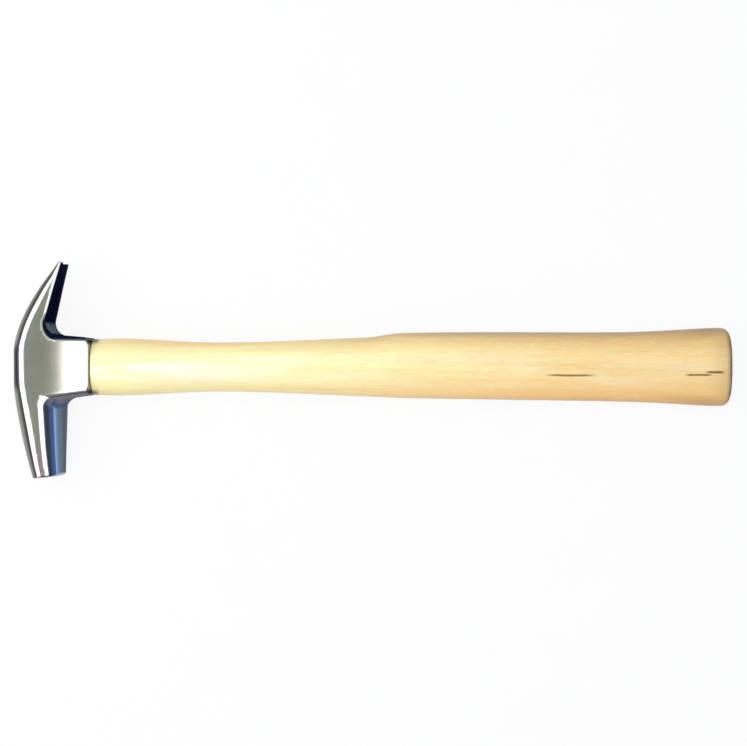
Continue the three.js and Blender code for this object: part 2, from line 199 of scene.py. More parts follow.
class HammerFinishes(bpy.types.PropertyGroup):
    """Colours of the steel and the wood."""

    polished: tone((0.56, 0.57, 0.565), "Cheeks, crown and striking face")
    # The next four tints are painted reflections of the room on the polished cheeks
    cheek_grey: tone((0.55, 0.555, 0.56), "Tint of the polished cheeks")
    cheek_green_reflection: tone((0.53, 0.59, 0.47), "Tint of the cheeks along the crown")
    cheek_straw_reflection: tone((0.56, 0.565, 0.48), "Tint of the cheeks below that")
    cheek_warm_reflection: tone((0.59, 0.555, 0.49), "Tint of the cheeks at the collar's flat")
    cheek_rosy_reflection: tone((0.62, 0.52, 0.55), "Tint of the cheeks at the striking face")
    pits: tone((0.25, 0.24, 0.22), "Fine pits in the polish")
    # Painted blue reflection under the poll
    underside: tone((0.42, 0.46, 0.56), "Steel under the poll")
    # Painted reflections low on the poll and on the collar beside it, bluest in the fillet, with a dark
    # line along the fold of the collar's flat
    poll_edge: tone((0.15, 0.22, 0.265), "Duller steel low on the poll")
    poll_rim_reflection: tone((0.13, 0.13, 0.165), "The lowest strip of the poll")
    collar_side_reflection: tone((0.21, 0.185, 0.2), "Dull steel on the collar under the poll")
    fillet: tone((0.065, 0.105, 0.2), "Blued steel between the collar and the poll")
    seam: tone((0.018, 0.023, 0.026), "Dark line where the collar's flat turns down")
    # Painted reflection of the wood on the collar's rim
    collar_rim_wood_reflection: tone((0.5, 0.46, 0.27), "Steel at the joint, coloured by the wood")
    # Painted highlight along the claw's rounded inner edge
    claw_edge_highlight: tone((0.9, 0.92, 0.95), "Bright edge between the claw's cheek and its underside")
    # Painted dark reflection and shade under the claw, in the crook and in the nail slot, darker on the
    # lower cheek's side
    crook: tone((0.005, 0.0075, 0.026), "Dark forge finish under the claw")
    # Painted grey-green reflection on the edge of the crook
    crook_lip_reflection: tone((0.3, 0.33, 0.29), "Worn steel on the edge of the crook")
    far_crook_shade: tone((0.016, 0.015, 0.045), "Forge finish under the claw on the far side")
    # Painted reflection, paler and teal, in the hollow of the crook
    hollow: tone((0.15, 0.185, 0.205), "Worn forge finish in the hollow of the crook")
    # Painted dark reflections along the crown's rounded edges, lighter towards the outline and darker
    # beside the eye
    crown: tone((0.05, 0.047, 0.043), "Forge finish along the crown's edges")
    crown_edge_reflection: tone((0.3, 0.3, 0.29), "Worn forge finish along the crown's outline")
    eye_crown: tone((0.035, 0.022, 0.045), "Forge finish beside the eye")
    eye_crown_edge_reflection: tone((0.16, 0.14, 0.17), "Worn forge finish beside the eye, at the outline")
    pale_wood: tone((0.95, 0.88, 0.46), "Hickory near the head")
    tan_wood: tone((0.96, 0.7, 0.32), "Hickory near the butt")
    # Painted highlight in pale patches along the middle of the handle
    sapwood: tone((0.97, 0.96, 0.8), "Almost white patches along the middle of the handle")
    # Amber is the wood's own mottling and also painted shade at the handle's edges by the head
    amber: tone((0.97, 0.6, 0.24), "Warm mottling and the handle's edges by the head")
    # Painted shadow in the corner by the collar, on the wood and at the corners of the collar's rim
    shoulder: tone((0.045, 0.036, 0.02), "Grime in the corner by the collar")
    # Painted shade on the handle's flanks, deeper towards the butt and warmer on the poll's side
    flank: tone((0.76, 0.46, 0.19), "Hickory on the claw's side of the handle")
    warm_flank: tone((0.95, 0.5, 0.16), "Hickory on the poll's side of the handle")
    # Painted shade on the grip's sides and towards the butt
    dusk: tone((0.22, 0.15, 0.09), "Hickory darkened by hands on the grip and the butt")
    grain: tone((0.7, 0.42, 0.16), "Darker lines of the hickory")
    mineral: tone((0.17, 0.075, 0.01), "Short dark streaks in the grip")
    butt_wood: tone((0.42, 0.3, 0.18), "End grain of the butt")
    butt_ring: tone((0.2, 0.135, 0.08), "Dark rings in the butt")
    tenon_wood: tone((0.72, 0.52, 0.28), "End grain of the tenon")
    tenon_ring: tone((0.46, 0.29, 0.13), "Dark rings in the tenon")
    wedge_wood: tone((0.42, 0.23, 0.09), "The wooden wedge")
    wedge_steel: tone((0.3, 0.3, 0.31), "The steel wedges")


class HammerStage(bpy.types.PropertyGroup):
    """Camera, light and floor."""

    camera_place: FloatVectorProperty(
        description="The camera's place above the hammer",
        default=(0.00066, -0.00113, 0.6227),
        size=3,
        subtype="XYZ",
        unit="LENGTH",
    )
    lens: number(63.3, "Focal length for a 36 mm sensor")
    floor_radius: length(6000, "Reach of the pale floor")
    floor_tone: tone((0.82, 0.82, 0.82), "The floor's colour")
    room_ends: tone((0.06, 0.085, 0.12), "The room beyond the claw and the poll")
    overhead: number(2.75, "Strength of the overhead softbox")
    left: number(2.6, "Strength of the softbox beyond the head")
    front: number(0.85, "Strength of the softbox on the poll's side")
    back: number(1.8, "Strength of the softbox on the claw's side")
    grip: number(3.2, "Strength of the softbox over the grip")


# Curves and rings


def smooth(knots):
    """A curve through (place, value) knots that doesn't overshoot between them."""
    places = [knot[0] for knot in knots]
    values = [knot[1] for knot in knots]
    slopes = [
        (values[i + 1] - values[i]) / (places[i + 1] - places[i]) for i in range(len(knots) - 1)
    ]
    tangents = [slopes[0]]
    for before, after in zip(slopes, slopes[1:]):
        tangents.append(2 * before * after / (before + after) if before * after > 0 else 0.0)
    tangents.append(slopes[-1])

    def value_at(place):
        inside = min(max(place, places[0]), places[-1])
        i = 0
        while i < len(slopes) - 1 and places[i + 1] < inside:
            i += 1
        step = places[i + 1] - places[i]
        t = (inside - places[i]) / step
        return (
            values[i] * (1 + 2 * t) * (1 - t) ** 2
            + tangents[i] * step * t * (1 - t) ** 2
            + values[i + 1] * t * t * (3 - 2 * t)
            + tangents[i + 1] * step * t * t * (t - 1)
        )

    return value_at


def spread(first, last, steps):
    """Equally spaced places, both ends included."""
    return [first + (last - first) * i / steps for i in range(steps + 1)]


def lerp(a, b, t):
    """The value that lies a part of the way from one to another."""
    return a + (b - a) * t


def rounded_rectangle(x, half_y, half_z, radius, steps=8):
    """A ring square to the handle."""
    ring = []
    for quarter, (side_y, side_z) in enumerate(((1, 1), (-1, 1), (-1, -1), (1, -1))):
        for turn in spread(0, math.pi / 2, steps):
            a = turn + quarter * math.pi / 2
            y = side_y * (half_y - radius) + radius * math.cos(a)
            z = side_z * (half_z - radius) + radius * math.sin(a)
            ring.append((x, y, z))
    return ring


# Modelling with operators

# Closer than these, points are one and lie on a cutting plane
NEAR = 1e-6
PLANE_NEAR = 1e-7


def start_clean():
    """Leave edit mode and select nothing."""
    if bpy.context.mode != "OBJECT":
        bpy.ops.object.mode_set(mode="OBJECT")
    bpy.ops.object.select_all(action="DESELECT")


def sweep(name, rings):
    """Add a filled circle, place it on the first ring and extrude it from ring to ring."""
    start_clean()
    bpy.ops.mesh.primitive_circle_add(vertices=len(rings[0]), fill_type="NGON")
    piece = bpy.context.active_object
    piece.name = name
    piece.data.name = name
    for vertex, point in zip(piece.data.vertices, rings[0]):
        vertex.co = point
    bpy.ops.object.mode_set(mode="EDIT")
    bpy.ops.mesh.select_mode(type="FACE")
    bpy.ops.mesh.select_all(action="SELECT")
    for before, ring in zip(rings, rings[1:]):
        bpy.ops.mesh.extrude_region_move()
        move_ring(piece, before, ring)
    bpy.ops.mesh.select_all(action="SELECT")
    bpy.ops.mesh.normals_make_consistent(inside=False)
    bpy.ops.object.mode_set(mode="OBJECT")
    return piece


def move_ring(piece, before, ring):
    """Move the selected vertices, which lie on one ring, to the same places on the next."""
    target = {tuple(Vector(old)): new for old, new in zip(before, ring)}
    mesh = bmesh.from_edit_mesh(piece.data)
    for vertex in mesh.verts:
        if vertex.select:
            vertex.co = target[tuple(vertex.co)]
    bmesh.update_edit_mesh(piece.data)


def cut(piece, tool, operation="DIFFERENCE"):
    """Take one piece out of another, or join them, and delete the tool."""
    modifier = piece.modifiers.new("Cut", "BOOLEAN")
    modifier.operation = operation
    modifier.solver = "EXACT"
    modifier.object = tool
    activate(piece)
    bpy.ops.object.modifier_apply(modifier=modifier.name)
    bpy.data.objects.remove(tool)


def activate(piece):
    """Select one piece alone and make it the active one."""
    start_clean()
    piece.select_set(True)
    bpy.context.view_layer.objects.active = piece


def select_level(piece, low, high):
    """In edit mode, select only the faces whose middle lies between two heights."""
    bpy.ops.mesh.select_all(action="DESELECT")
    mesh = bmesh.from_edit_mesh(piece.data)
    for face in mesh.faces:
        if low < face.calc_center_median().z < high:
            face.select_set(True)
    mesh.select_flush(True)
    bmesh.update_edit_mesh(piece.data)


def slice_off(point, normal):
    """Cut the edited piece at a plane, drop what lies beyond and close it, with the new face selected."""
    bpy.ops.mesh.select_all(action="SELECT")
    bpy.ops.mesh.bisect(
        plane_co=point, plane_no=normal, use_fill=True, clear_outer=True, threshold=PLANE_NEAR
    )


def finish_piece(piece, shift, crease):
    """Move a piece from the head's own axes to its place in the frame and set its shading."""
    activate(piece)
    bpy.ops.object.mode_set(mode="EDIT")
    bpy.ops.mesh.select_all(action="SELECT")
    bpy.ops.mesh.remove_doubles(threshold=2 * NEAR)
    bpy.ops.mesh.dissolve_degenerate(threshold=NEAR)
    bpy.ops.mesh.select_all(action="SELECT")
    bpy.ops.mesh.normals_make_consistent(inside=False)
    bpy.ops.transform.translate(value=shift)
    bpy.ops.object.mode_set(mode="OBJECT")
    bpy.ops.object.shade_smooth_by_angle(angle=crease)


def frame_shift(scene):
    """From the head's own axes, crown and handle's axis, to the frame."""
    head, handle = scene.hammer_head, scene.hammer_handle
    head_low, head_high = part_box("hammer_head")
    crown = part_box("handle")[1].x - head.collar_length - handle.clearance - handle.length_over_all
    return Vector((crown, head_high.y - head.claw_reach, (head_low.z + head_high.z) / 2))


# The head's outline, seen on its cheek

# Steps along each stretch of the outline, in the order in which it runs
CROWN_STEPS = 150
CLAW_STEPS = 34
FILLET_STEPS = 20
CLAW_SIDE_STEPS = 14
CORNER_STEPS = 10
END_STEPS = 22
POLL_SIDE_STEPS = 12
POLL_STEPS = 40
SLOPE_STEP = 0.05 * MM

# The claw's ridge limits the roundings from this place on, and is searched for by halving a distance
RIDGE_FROM = 10 * MM
RIDGE_SEARCH = 12 * MM
HALVINGS = 30

# How far the rough head runs past the striking face and the claw's tip, which are cut later
POLL_OVERRUN = 4 * MM
CLAW_OVERRUN = 2 * MM

# Parts of the reach to the face or the tip, and the share of the crown's rounding there
CROWN_ROUNDS = ((-1, 0.86), (-0.5, 1.2), (0, 1), (0.5, 0.95), (0.64, 0.9), (0.78, 0.74), (1, 0.5))

# The part of the reach to the face at which the rounding under the poll is halfway to its end
POLL_MIDDLE = 0.78


def crown_depth(head, y):
    """How far the crown has fallen at a place along the head."""
    past = max(0.0, abs(y) - head.crown_flat / 2)
    if y > 0:
        drop, reach, power = head.claw_drop, head.claw_reach, head.claw_curl
    else:
        drop, reach, power = head.face_drop, head.face_reach, head.poll_sweep
    part = past / (reach - head.crown_flat / 2)
    if y > 0 and part > 1:
        return drop * (1 + power * (part - 1))
    return drop * part**power


def claw_slope(head):
    """How steeply the claw's straight underside falls towards the tip."""
    root = head.collar_claw_side + head.claw_fillet
    return (head.claw_drop + head.claw_tip - head.claw_depth) / (head.claw_reach - root)


def claw_under(head, y):
    """Depth of the claw's straight underside, which runs along the crown beyond the tip."""
    if y > head.claw_reach:
        return crown_depth(head, y) + head.claw_tip
    root = head.collar_claw_side + head.claw_fillet
    return head.claw_depth + claw_slope(head) * (y - root)


def claw_ridge(head, y):
    """Depth of the line on which the roundings of crown and underside meet."""
    return lerp(crown_depth(head, y), claw_under(head, y), head.claw_ridge)


def reach_to_ridge(head, x, y, inward):
    """Distance from an edge of the claw, square to it, to the ridge."""
    near, far = 0.0, RIDGE_SEARCH
    for _ in range(HALVINGS):
        middle = (near + far) / 2
        past = x + inward[0] * middle - claw_ridge(head, y + inward[1] * middle)
        if past * inward[0] > 0:
            far = middle
        else:
            near = middle
    return near


def corner_arc(corner, along_in, along_out, radius, steps):
    """Points and centre of the arc that rounds a corner between two directions leaving it."""
    a, b = Vector(along_in).normalized(), Vector(along_out).normalized()
    half = a.angle(b) / 2
    centre = Vector(corner) + (a + b).normalized() * radius / math.sin(half)
    first = Vector(corner) + a * radius / math.tan(half) - centre
    last = Vector(corner) + b * radius / math.tan(half) - centre
    sweep_angle = first.angle(last)
    points = []
    for t in spread(0, 1, steps):
        near = math.sin((1 - t) * sweep_angle) / math.sin(sweep_angle)
        far = math.sin(t * sweep_angle) / math.sin(sweep_angle)
        points.append(centre + first * near + last * far)
    return points, centre


def meet(point_a, along_a, point_b, along_b):
    """Where two lines in the plane cross."""
    cross = along_a[0] * along_b[1] - along_a[1] * along_b[0]
    gap = (point_b[0] - point_a[0], point_b[1] - point_a[1])
    t = (gap[0] * along_b[1] - gap[1] * along_b[0]) / cross
    return (point_a[0] + along_a[0] * t, point_a[1] + along_a[1] * t)


def edge_row(head, depth_at, y, side, radius):
    """An outline row on the crown, whose side is 1, or on the claw's underside, whose side is -1."""
    rise = depth_at(head, y + SLOPE_STEP) - depth_at(head, y - SLOPE_STEP)
    inward = Vector((1, -rise / (2 * SLOPE_STEP))).normalized() * side
    x = depth_at(head, y)
    if y > RIDGE_FROM:
        radius = min(radius, reach_to_ridge(head, x, y, inward) - SLOPE_STEP)
    return (x, y, inward.x, inward.y, radius)


def straight_rows(first, last, steps, inward, first_radius, last_radius):
    """Outline rows between two points, without the points themselves."""
    return [
        (*first.lerp(last, t), *inward, lerp(first_radius, last_radius, t))
        for t in spread(0, 1, steps)[1:-1]
    ]


def rounding_rows(points, edges, first_radius, last_radius, ease=1.0):
    """Outline rows whose rounding ends on given points of the cheek, with a changing radius."""
    rows = []
    for t, point, edge in zip(spread(0, 1, len(points) - 1), points, edges):
        radius = lerp(first_radius, last_radius, t**ease)
        rows.append((*point, *((edge - point) / radius), radius))
    return rows


def head_outline(head):
    """Rows of x, y, the inward direction and the edge's radius, round the head's outline."""
    crown_round = smooth(
        [
            (part * (head.claw_reach if part > 0 else head.face_reach), head.crown_round * kept)
            for part, kept in CROWN_ROUNDS
        ]
    )
    face_end = -head.face_reach - POLL_OVERRUN
    tip_end = head.claw_reach + CLAW_OVERRUN
    rows = [
        edge_row(head, crown_depth, y, 1, crown_round(y))
        for y in spread(face_end, tip_end, CROWN_STEPS)
    ]

    # Back under the claw and round its crook to the collar
    collar_run = head.collar_length - head.collar_root
    upper_along = (collar_run, head.collar_claw_end - head.collar_claw_side)
    upper_root = (head.collar_root, head.collar_claw_side)
    claw_root = (head.claw_depth, head.collar_claw_side + head.claw_fillet)
    claw_along = (claw_slope(head), 1)
    crook = meet(claw_root, claw_along, upper_root, upper_along)
    arc, centre = corner_arc(crook, claw_along, upper_along, head.claw_fillet, FILLET_STEPS)
    rows += [
        edge_row(head, claw_under, y, -1, head.claw_round)
        for y in spread(tip_end, arc[0].y, CLAW_STEPS)[:-1]
    ]
    for t, point in zip(spread(0, 1, FILLET_STEPS), arc):
        inward = (point - centre).normalized()
        rows.append((*point, *inward, lerp(head.claw_round, head.collar_round, t)))

    # Along the collar and round its end
    end_upper = (head.collar_length, head.collar_claw_end)
    back_upper = (-upper_along[0], -upper_along[1])
    corner = corner_arc(end_upper, back_upper, (0, -1), head.collar_corner, CORNER_STEPS)[0]
    inward = Vector((upper_along[1], -upper_along[0])).normalized()
    tip_round = head.collar_tip_round
    rows += straight_rows(arc[-1], corner[0], CLAW_SIDE_STEPS, inward, head.collar_round, tip_round)
    end_round = head.collar_end_round
    flat_end = head.collar_length - end_round
    flat_upper = (flat_end, head.collar_claw_end - tip_round)
    edges = corner_arc(flat_upper, back_upper, (0, -1), head.flat_corner, CORNER_STEPS)[0]
    rows += rounding_rows(corner, edges, tip_round, end_round)
    lower_along = (collar_run, head.collar_poll_side - head.collar_poll_end)
    end_lower = (head.collar_length, -head.collar_poll_end)
    back_lower = (-lower_along[0], -lower_along[1])
    corner_low = corner_arc(end_lower, (0, 1), back_lower, head.collar_corner, CORNER_STEPS)[0]
    rows += straight_rows(corner[-1], corner_low[0], END_STEPS, (-1, 0), end_round, end_round)
    poll_side_round = head.collar_poll_round
    flat_lower = (flat_end, poll_side_round - head.collar_poll_end)
    edges = corner_arc(flat_lower, (0, 1), back_lower, head.flat_corner, CORNER_STEPS)[0]
    rows += rounding_rows(corner_low, edges, end_round, poll_side_round)

    # Round the poll's corner and along its underside
    poll_root = head.collar_poll_side + head.poll_fillet
    poll_end = head.face_drop + head.face_diameter
    poll_along = (poll_end - head.poll_depth, poll_root - head.face_reach)
    lower_root = (head.collar_root, -head.collar_poll_side)
    nook = meet((head.poll_depth, -poll_root), poll_along, lower_root, lower_along)
    arc = corner_arc(nook, lower_along, poll_along, head.poll_fillet, FILLET_STEPS)[0]
    inward = Vector((-lower_along[1], lower_along[0])).normalized()
    rows += straight_rows(
        corner_low[-1], arc[0], POLL_SIDE_STEPS, inward, poll_side_round, poll_side_round
    )
    poll_inward = Vector((poll_along[1], -poll_along[0])).normalized()
    collar_edge = arc[0] + inward * poll_side_round
    poll_edge = arc[-1] + poll_inward * head.poll_round
    inner = Vector(meet(collar_edge, lower_along, poll_edge, poll_along))
    halfway = spread(0, 1, FILLET_STEPS // 2)
    edges = [collar_edge.lerp(inner, t) for t in halfway]
    edges += [inner.lerp(poll_edge, t) for t in halfway[1:]]
    rows += rounding_rows(arc, edges, poll_side_round, head.poll_round, head.poll_ease)
    under_round = smooth(
        [
            (-head.face_reach, head.poll_tip_round),
            (-head.face_reach * POLL_MIDDLE, (head.poll_tip_round + head.poll_round) / 2),
            (arc[-1].y, head.poll_round),
        ]
    )
    far = Vector((poll_end - poll_along[0] / poll_along[1] * POLL_OVERRUN, face_end))
    for t in spread(0, 1, POLL_STEPS)[1:]:
        point = arc[-1].lerp(far, t)
        rows.append((*point, *poll_inward, under_round(point.y)))
    return rows


# The head's cheeks, striking face, eye and nail slot

# The flat cheek waits at this height until it is raised to its surface
CAP = 20 * MM
GRID_PITCH = 1.1 * MM
LEAST_HEIGHT = 0.2 * MM
ROUNDING_STEPS = 9
RIM_STEPS = 5

# Past this many softnesses the fold is straight
STRAIGHT = 40

# Each ring of the striking face's dome: its size beside the one before, and its share of the rise
DOME_RINGS = ((0.75, 0.5), (0.6, 0.35), (0.4, 0.15))

# Steps down the eye and round the slot's root
EYE_STEPS = 16
SLOT_STEPS = 16

# How far the slot's file runs past the tip, as a part of the slot
SLOT_BEYOND = 0.3


def cheek_surface(head):
    """Height of the cheek over the middle plane, at any place on the outline's plane."""
    root = head.cheek_half - head.root_narrowing
    half_at = smooth(
        [
            (-head.face_reach, head.face_diameter / 2),
            (-head.cheek_root, root),
            (-head.cheek_full, head.cheek_half),
            (head.cheek_full, head.cheek_half),
            (head.cheek_root, root),
            (head.claw_reach, head.tip_half),
        ]
    )
    fold_at = smooth(
        [
            (-head.face_reach, head.face_drop + head.face_diameter / 2),
            (-head.fold_reach, head.cheek_fold),
            (head.fold_reach, head.cheek_fold),
            (head.claw_reach, head.claw_drop),
        ]
    )
    lean = math.tan(head.cheek_lean)
    soft = head.fold_softness

    def height_at(x, y):
        over = (fold_at(y) - x) / soft
        fold = soft * (over if over > STRAIGHT else math.log1p(math.exp(over)))
        return half_at(y) - lean * fold

    return height_at


def head_rings(head, height_at):
    """The outline's rings from the middle plane up the side and over the rounding, the last one flat."""
    outline = head_outline(head)
    rings = [[(x, y, 0.0) for x, y, *_ in outline]]
    for turn in spread(0, math.pi / 2, ROUNDING_STEPS):
        ring = []
        for x, y, inward_x, inward_y, radius in outline:
            inset = radius * (1 - math.cos(turn))
            at = (x + inward_x * inset, y + inward_y * inset)
            height = height_at(*at) - radius * (1 - math.sin(turn))
            ring.append((*at, max(height, LEAST_HEIGHT)))
        rings.append(ring)
    rings[-1] = [(x, y, CAP) for x, y, _ in rings[-1]]
    return rings


def grid_cheek(piece, height_at):
    """Cut the flat cheek into a grid and raise the grid to the cheek's surface."""
    bpy.ops.object.mode_set(mode="EDIT")
    select_level(piece, CAP - NEAR, CAP + NEAR)
    bpy.ops.mesh.hide(unselected=True)
    for axis, normal in enumerate((Vector((1, 0, 0)), Vector((0, 1, 0)))):
        places = [vertex.co[axis] for vertex in piece.data.vertices]
        low, high = min(places), max(places)
        for place in spread(low, high, int((high - low) / GRID_PITCH))[1:-1]:
            bpy.ops.mesh.select_all(action="SELECT")
            bpy.ops.mesh.bisect(plane_co=normal * place, plane_no=normal, threshold=PLANE_NEAR)
    bpy.ops.mesh.reveal(select=False)
    mesh = bmesh.from_edit_mesh(piece.data)
    for vertex in mesh.verts:
        if vertex.co.z > CAP - NEAR:
            vertex.co.z = height_at(vertex.co.x, vertex.co.y)
    bmesh.update_edit_mesh(piece.data)
    select_level(piece, -NEAR, NEAR)
    bpy.ops.mesh.delete(type="FACE")
    bpy.ops.object.mode_set(mode="OBJECT")


def round_face(piece, head):
    """Cut the poll square at its face, round the rim in steps and dome the middle slightly."""
    outward = Vector((math.sin(head.face_tilt), -math.cos(head.face_tilt), 0))
    middle = Vector((head.face_drop + head.face_diameter / 2, -head.face_reach, 0))
    activate(piece)
    bpy.ops.object.mode_set(mode="EDIT")
    bpy.ops.mesh.select_mode(type="FACE")
    slice_off(middle - outward * head.face_round, outward)
    turns = spread(0, math.pi / 2, RIM_STEPS)
    sizes = [head.face_diameter / 2 - head.face_round * (1 - math.cos(turn)) for turn in turns]
    for i in range(RIM_STEPS):
        forward = head.face_round * (math.sin(turns[i + 1]) - math.sin(turns[i]))
        extrude(outward * forward)
        scale_about(middle, sizes[i + 1] / sizes[i])
    for size, rise in DOME_RINGS:
        extrude(outward * head.face_crown * rise)
        scale_about(middle, size)
    slice_off((0, head.claw_reach, 0), (0, 1, 0))
    bpy.ops.object.mode_set(mode="OBJECT")


def extrude(step):
    """Extrude the selected faces by a step."""
    bpy.ops.mesh.extrude_region_move(TRANSFORM_OT_translate={"value": step})


def scale_about(centre, factor):
    """Scale what is selected about a point."""
    bpy.ops.transform.resize(value=(factor,) * 3, center_override=centre)


def eye_rings(head, first, last, gap, lip=0.0):
    """Rings of the eye, or of the tenon in it, drawn in at the waist."""
    places = (0, head.eye_waist_depth, head.collar_length)
    lengths = (head.eye_length, head.eye_waist_length, head.eye_collar_length)
    widths = (head.eye_width, head.eye_waist_width, head.eye_collar_width)
    length_at = smooth(list(zip(places, lengths)))
    width_at = smooth(list(zip(places, widths)))

    def ring(x, wider):
        half_y = length_at(x) / 2 - gap + wider
        half_z = width_at(x) / 2 - gap + wider
        return rounded_rectangle(x, half_y, half_z, head.eye_round - gap + wider)

    rings = [ring(x, 0.0) for x in spread(max(first, lip), last, EYE_STEPS)]
    if lip:
        above, within = ring(-1.5 * lip, 2 * lip), ring(0.4 * lip, 0.3 * lip)
        rings = [above, within] + rings
    return rings


def slot_rings(head):
    """Rings of the nail slot, which widens from its round root and flares to both faces of the claw."""
    cos, sin = math.cos(head.slot_lean), math.sin(head.slot_lean)
    slope = (head.slot_mouth - head.slot_root) / 2 / head.slot_length
    beyond = head.slot_length * SLOT_BEYOND
    rings = []
    for height, flare in ((-head.claw_drop, 4), (0, 1), (head.claw_drop, 1)):
        half = head.slot_root / 2 + flare * head.slot_bevel
        mouth = half + slope * (head.slot_length + beyond)
        flat = [(beyond, mouth)]
        for turn in spread(0, math.pi, SLOT_STEPS):
            flat.append((-head.slot_length + half * (1 - math.sin(turn)), half * math.cos(turn)))
        flat.append((beyond, -mouth))
        x, y = head.claw_drop + height * cos, head.claw_reach - height * sin
        rings.append([(x + along * sin, y + along * cos, z) for along, z in flat])
    return rings


# Shader nodes


class Value:
    """A socket in a node tree. Arithmetic on it adds Math nodes."""

    def __init__(self, tree, socket):
        self.tree = tree
        self.socket = socket

    def math(self, operation, *inputs):
        return self.tree.add("ShaderNodeMath", {"operation": operation}, dict(enumerate(inputs)))

    def __add__(self, other):
        return self.math("ADD", self, other)

    def __radd__(self, other):
        return self.math("ADD", other, self)

    def __sub__(self, other):
        return self.math("SUBTRACT", self, other)

    def __rsub__(self, other):
        return self.math("SUBTRACT", other, self)

    def __mul__(self, other):
        return self.math("MULTIPLY", self, other)

    def __rmul__(self, other):
        return self.math("MULTIPLY", other, self)

    def __truediv__(self, other):
        return self.math("DIVIDE", self, other)

    def absolute(self):
        return self.math("ABSOLUTE", self)

    def highest(self, *others):
        value = self
        for other in others:
            value = self.math("MAXIMUM", value, other)
        return value

    def rise(self, low, high):
        """0 below one value, 1 above another, and a smooth step between them."""
        return self.tree.add(
            "ShaderNodeMapRange",
            {"interpolation_type": "SMOOTHSTEP"},
            {"Value": self, "From Min": low, "From Max": high, "To Min": 0.0, "To Max": 1.0},
        )

    def fall(self, low, high):
        return 1 - self.rise(low, high)


class Tree:
    """A node tree that is filled through one method. Its own axes start at the given place."""

    def __init__(self, owner, origin=(0, 0, 0)):
        owner.use_nodes = True
        self.nodes = owner.node_tree.nodes
        self.links = owner.node_tree.links
        self.nodes.clear()
        self.location = tuple(-part for part in origin)

    def add(self, kind, settings=None, inputs=None, output=0):
        """Add a node, set its settings, then its sockets by name or number, and give one output."""
        node = self.nodes.new(kind)
        for name, value in (settings or {}).items():
            if name == "stops":
                self.set_stops(node.color_ramp, value)
            else:
                setattr(node, name, value)
        for name, value in (inputs or {}).items():
            socket = node.inputs[name]
            if isinstance(value, Value):
                self.links.new(value.socket, socket)
            else:
                socket.default_value = value
        return Value(self, node.outputs[output]) if len(node.outputs) else node

    def set_stops(self, ramp, stops):
        while len(ramp.elements) < len(stops):
            ramp.elements.new(1.0)
        for element, (place, colour) in zip(ramp.elements, stops):
            element.position = place
            element.color = (*colour, 1.0)

    def mix(self, factor, *colours):
        """Mix two colours."""
        first, second = (colour if isinstance(colour, Value) else (*colour, 1.0) for colour in colours)
        settings = {"data_type": "RGBA", "clamp_factor": True}
        return self.add("ShaderNodeMix", settings, {0: factor, 6: first, 7: second}, output=2)

    def layers(self, colour, *coats):
        """Lay colours over the first one, each through its mask."""
        for mask, coat in coats:
            colour = self.mix(mask, colour, coat)
        return colour

    def place(self, scale=(1, 1, 1)):
        """The tree's own coordinates, stretched."""
        where = self.add("ShaderNodeTexCoord", output=3)
        inputs = {"Vector": where, "Location": self.location, "Scale": scale}
        return self.add("ShaderNodeMapping", None, inputs)

    def noise(self, vector, scale, detail, roughness=0.55, distortion=0.0):
        inputs = {"Vector": vector, "Scale": scale, "Detail": detail}
        inputs |= {"Roughness": roughness, "Distortion": distortion}
        return self.add("ShaderNodeTexNoise", None, inputs)

    def grain(self, scale, *texture):
        """Noise stretched along an axis."""
        return self.noise(self.place(scale), 1.0, *texture)

    def bump(self, height, strength, millimetres):
        inputs = {"Strength": strength, "Distance": millimetres * MM, "Height": height}
        return self.add("ShaderNodeBump", None, inputs)

    def axes(self, vector):
        """The three parts of a vector."""
        node = self.nodes.new("ShaderNodeSeparateXYZ")
        self.links.new(vector.socket, node.inputs[0])
        return [Value(self, output) for output in node.outputs]

    def millimetres(self):
        """The three own coordinates in millimetres."""
        return [axis / MM for axis in self.axes(self.place())]

    def normal(self):
        """How far the surface faces the butt, the claw and the upper cheek."""
        return self.axes(self.add("ShaderNodeTexCoord", output=1))


def new_material(name, origin=(0, 0, 0)):
    material = bpy.data.materials.new(name)
    return material, Tree(material, origin)


def surface(tree, inputs):
    """End a tree in a Principled shader."""
    shader = tree.add("ShaderNodeBsdfPrincipled", None, inputs)
    tree.add("ShaderNodeOutputMaterial", None, {"Surface": shader})


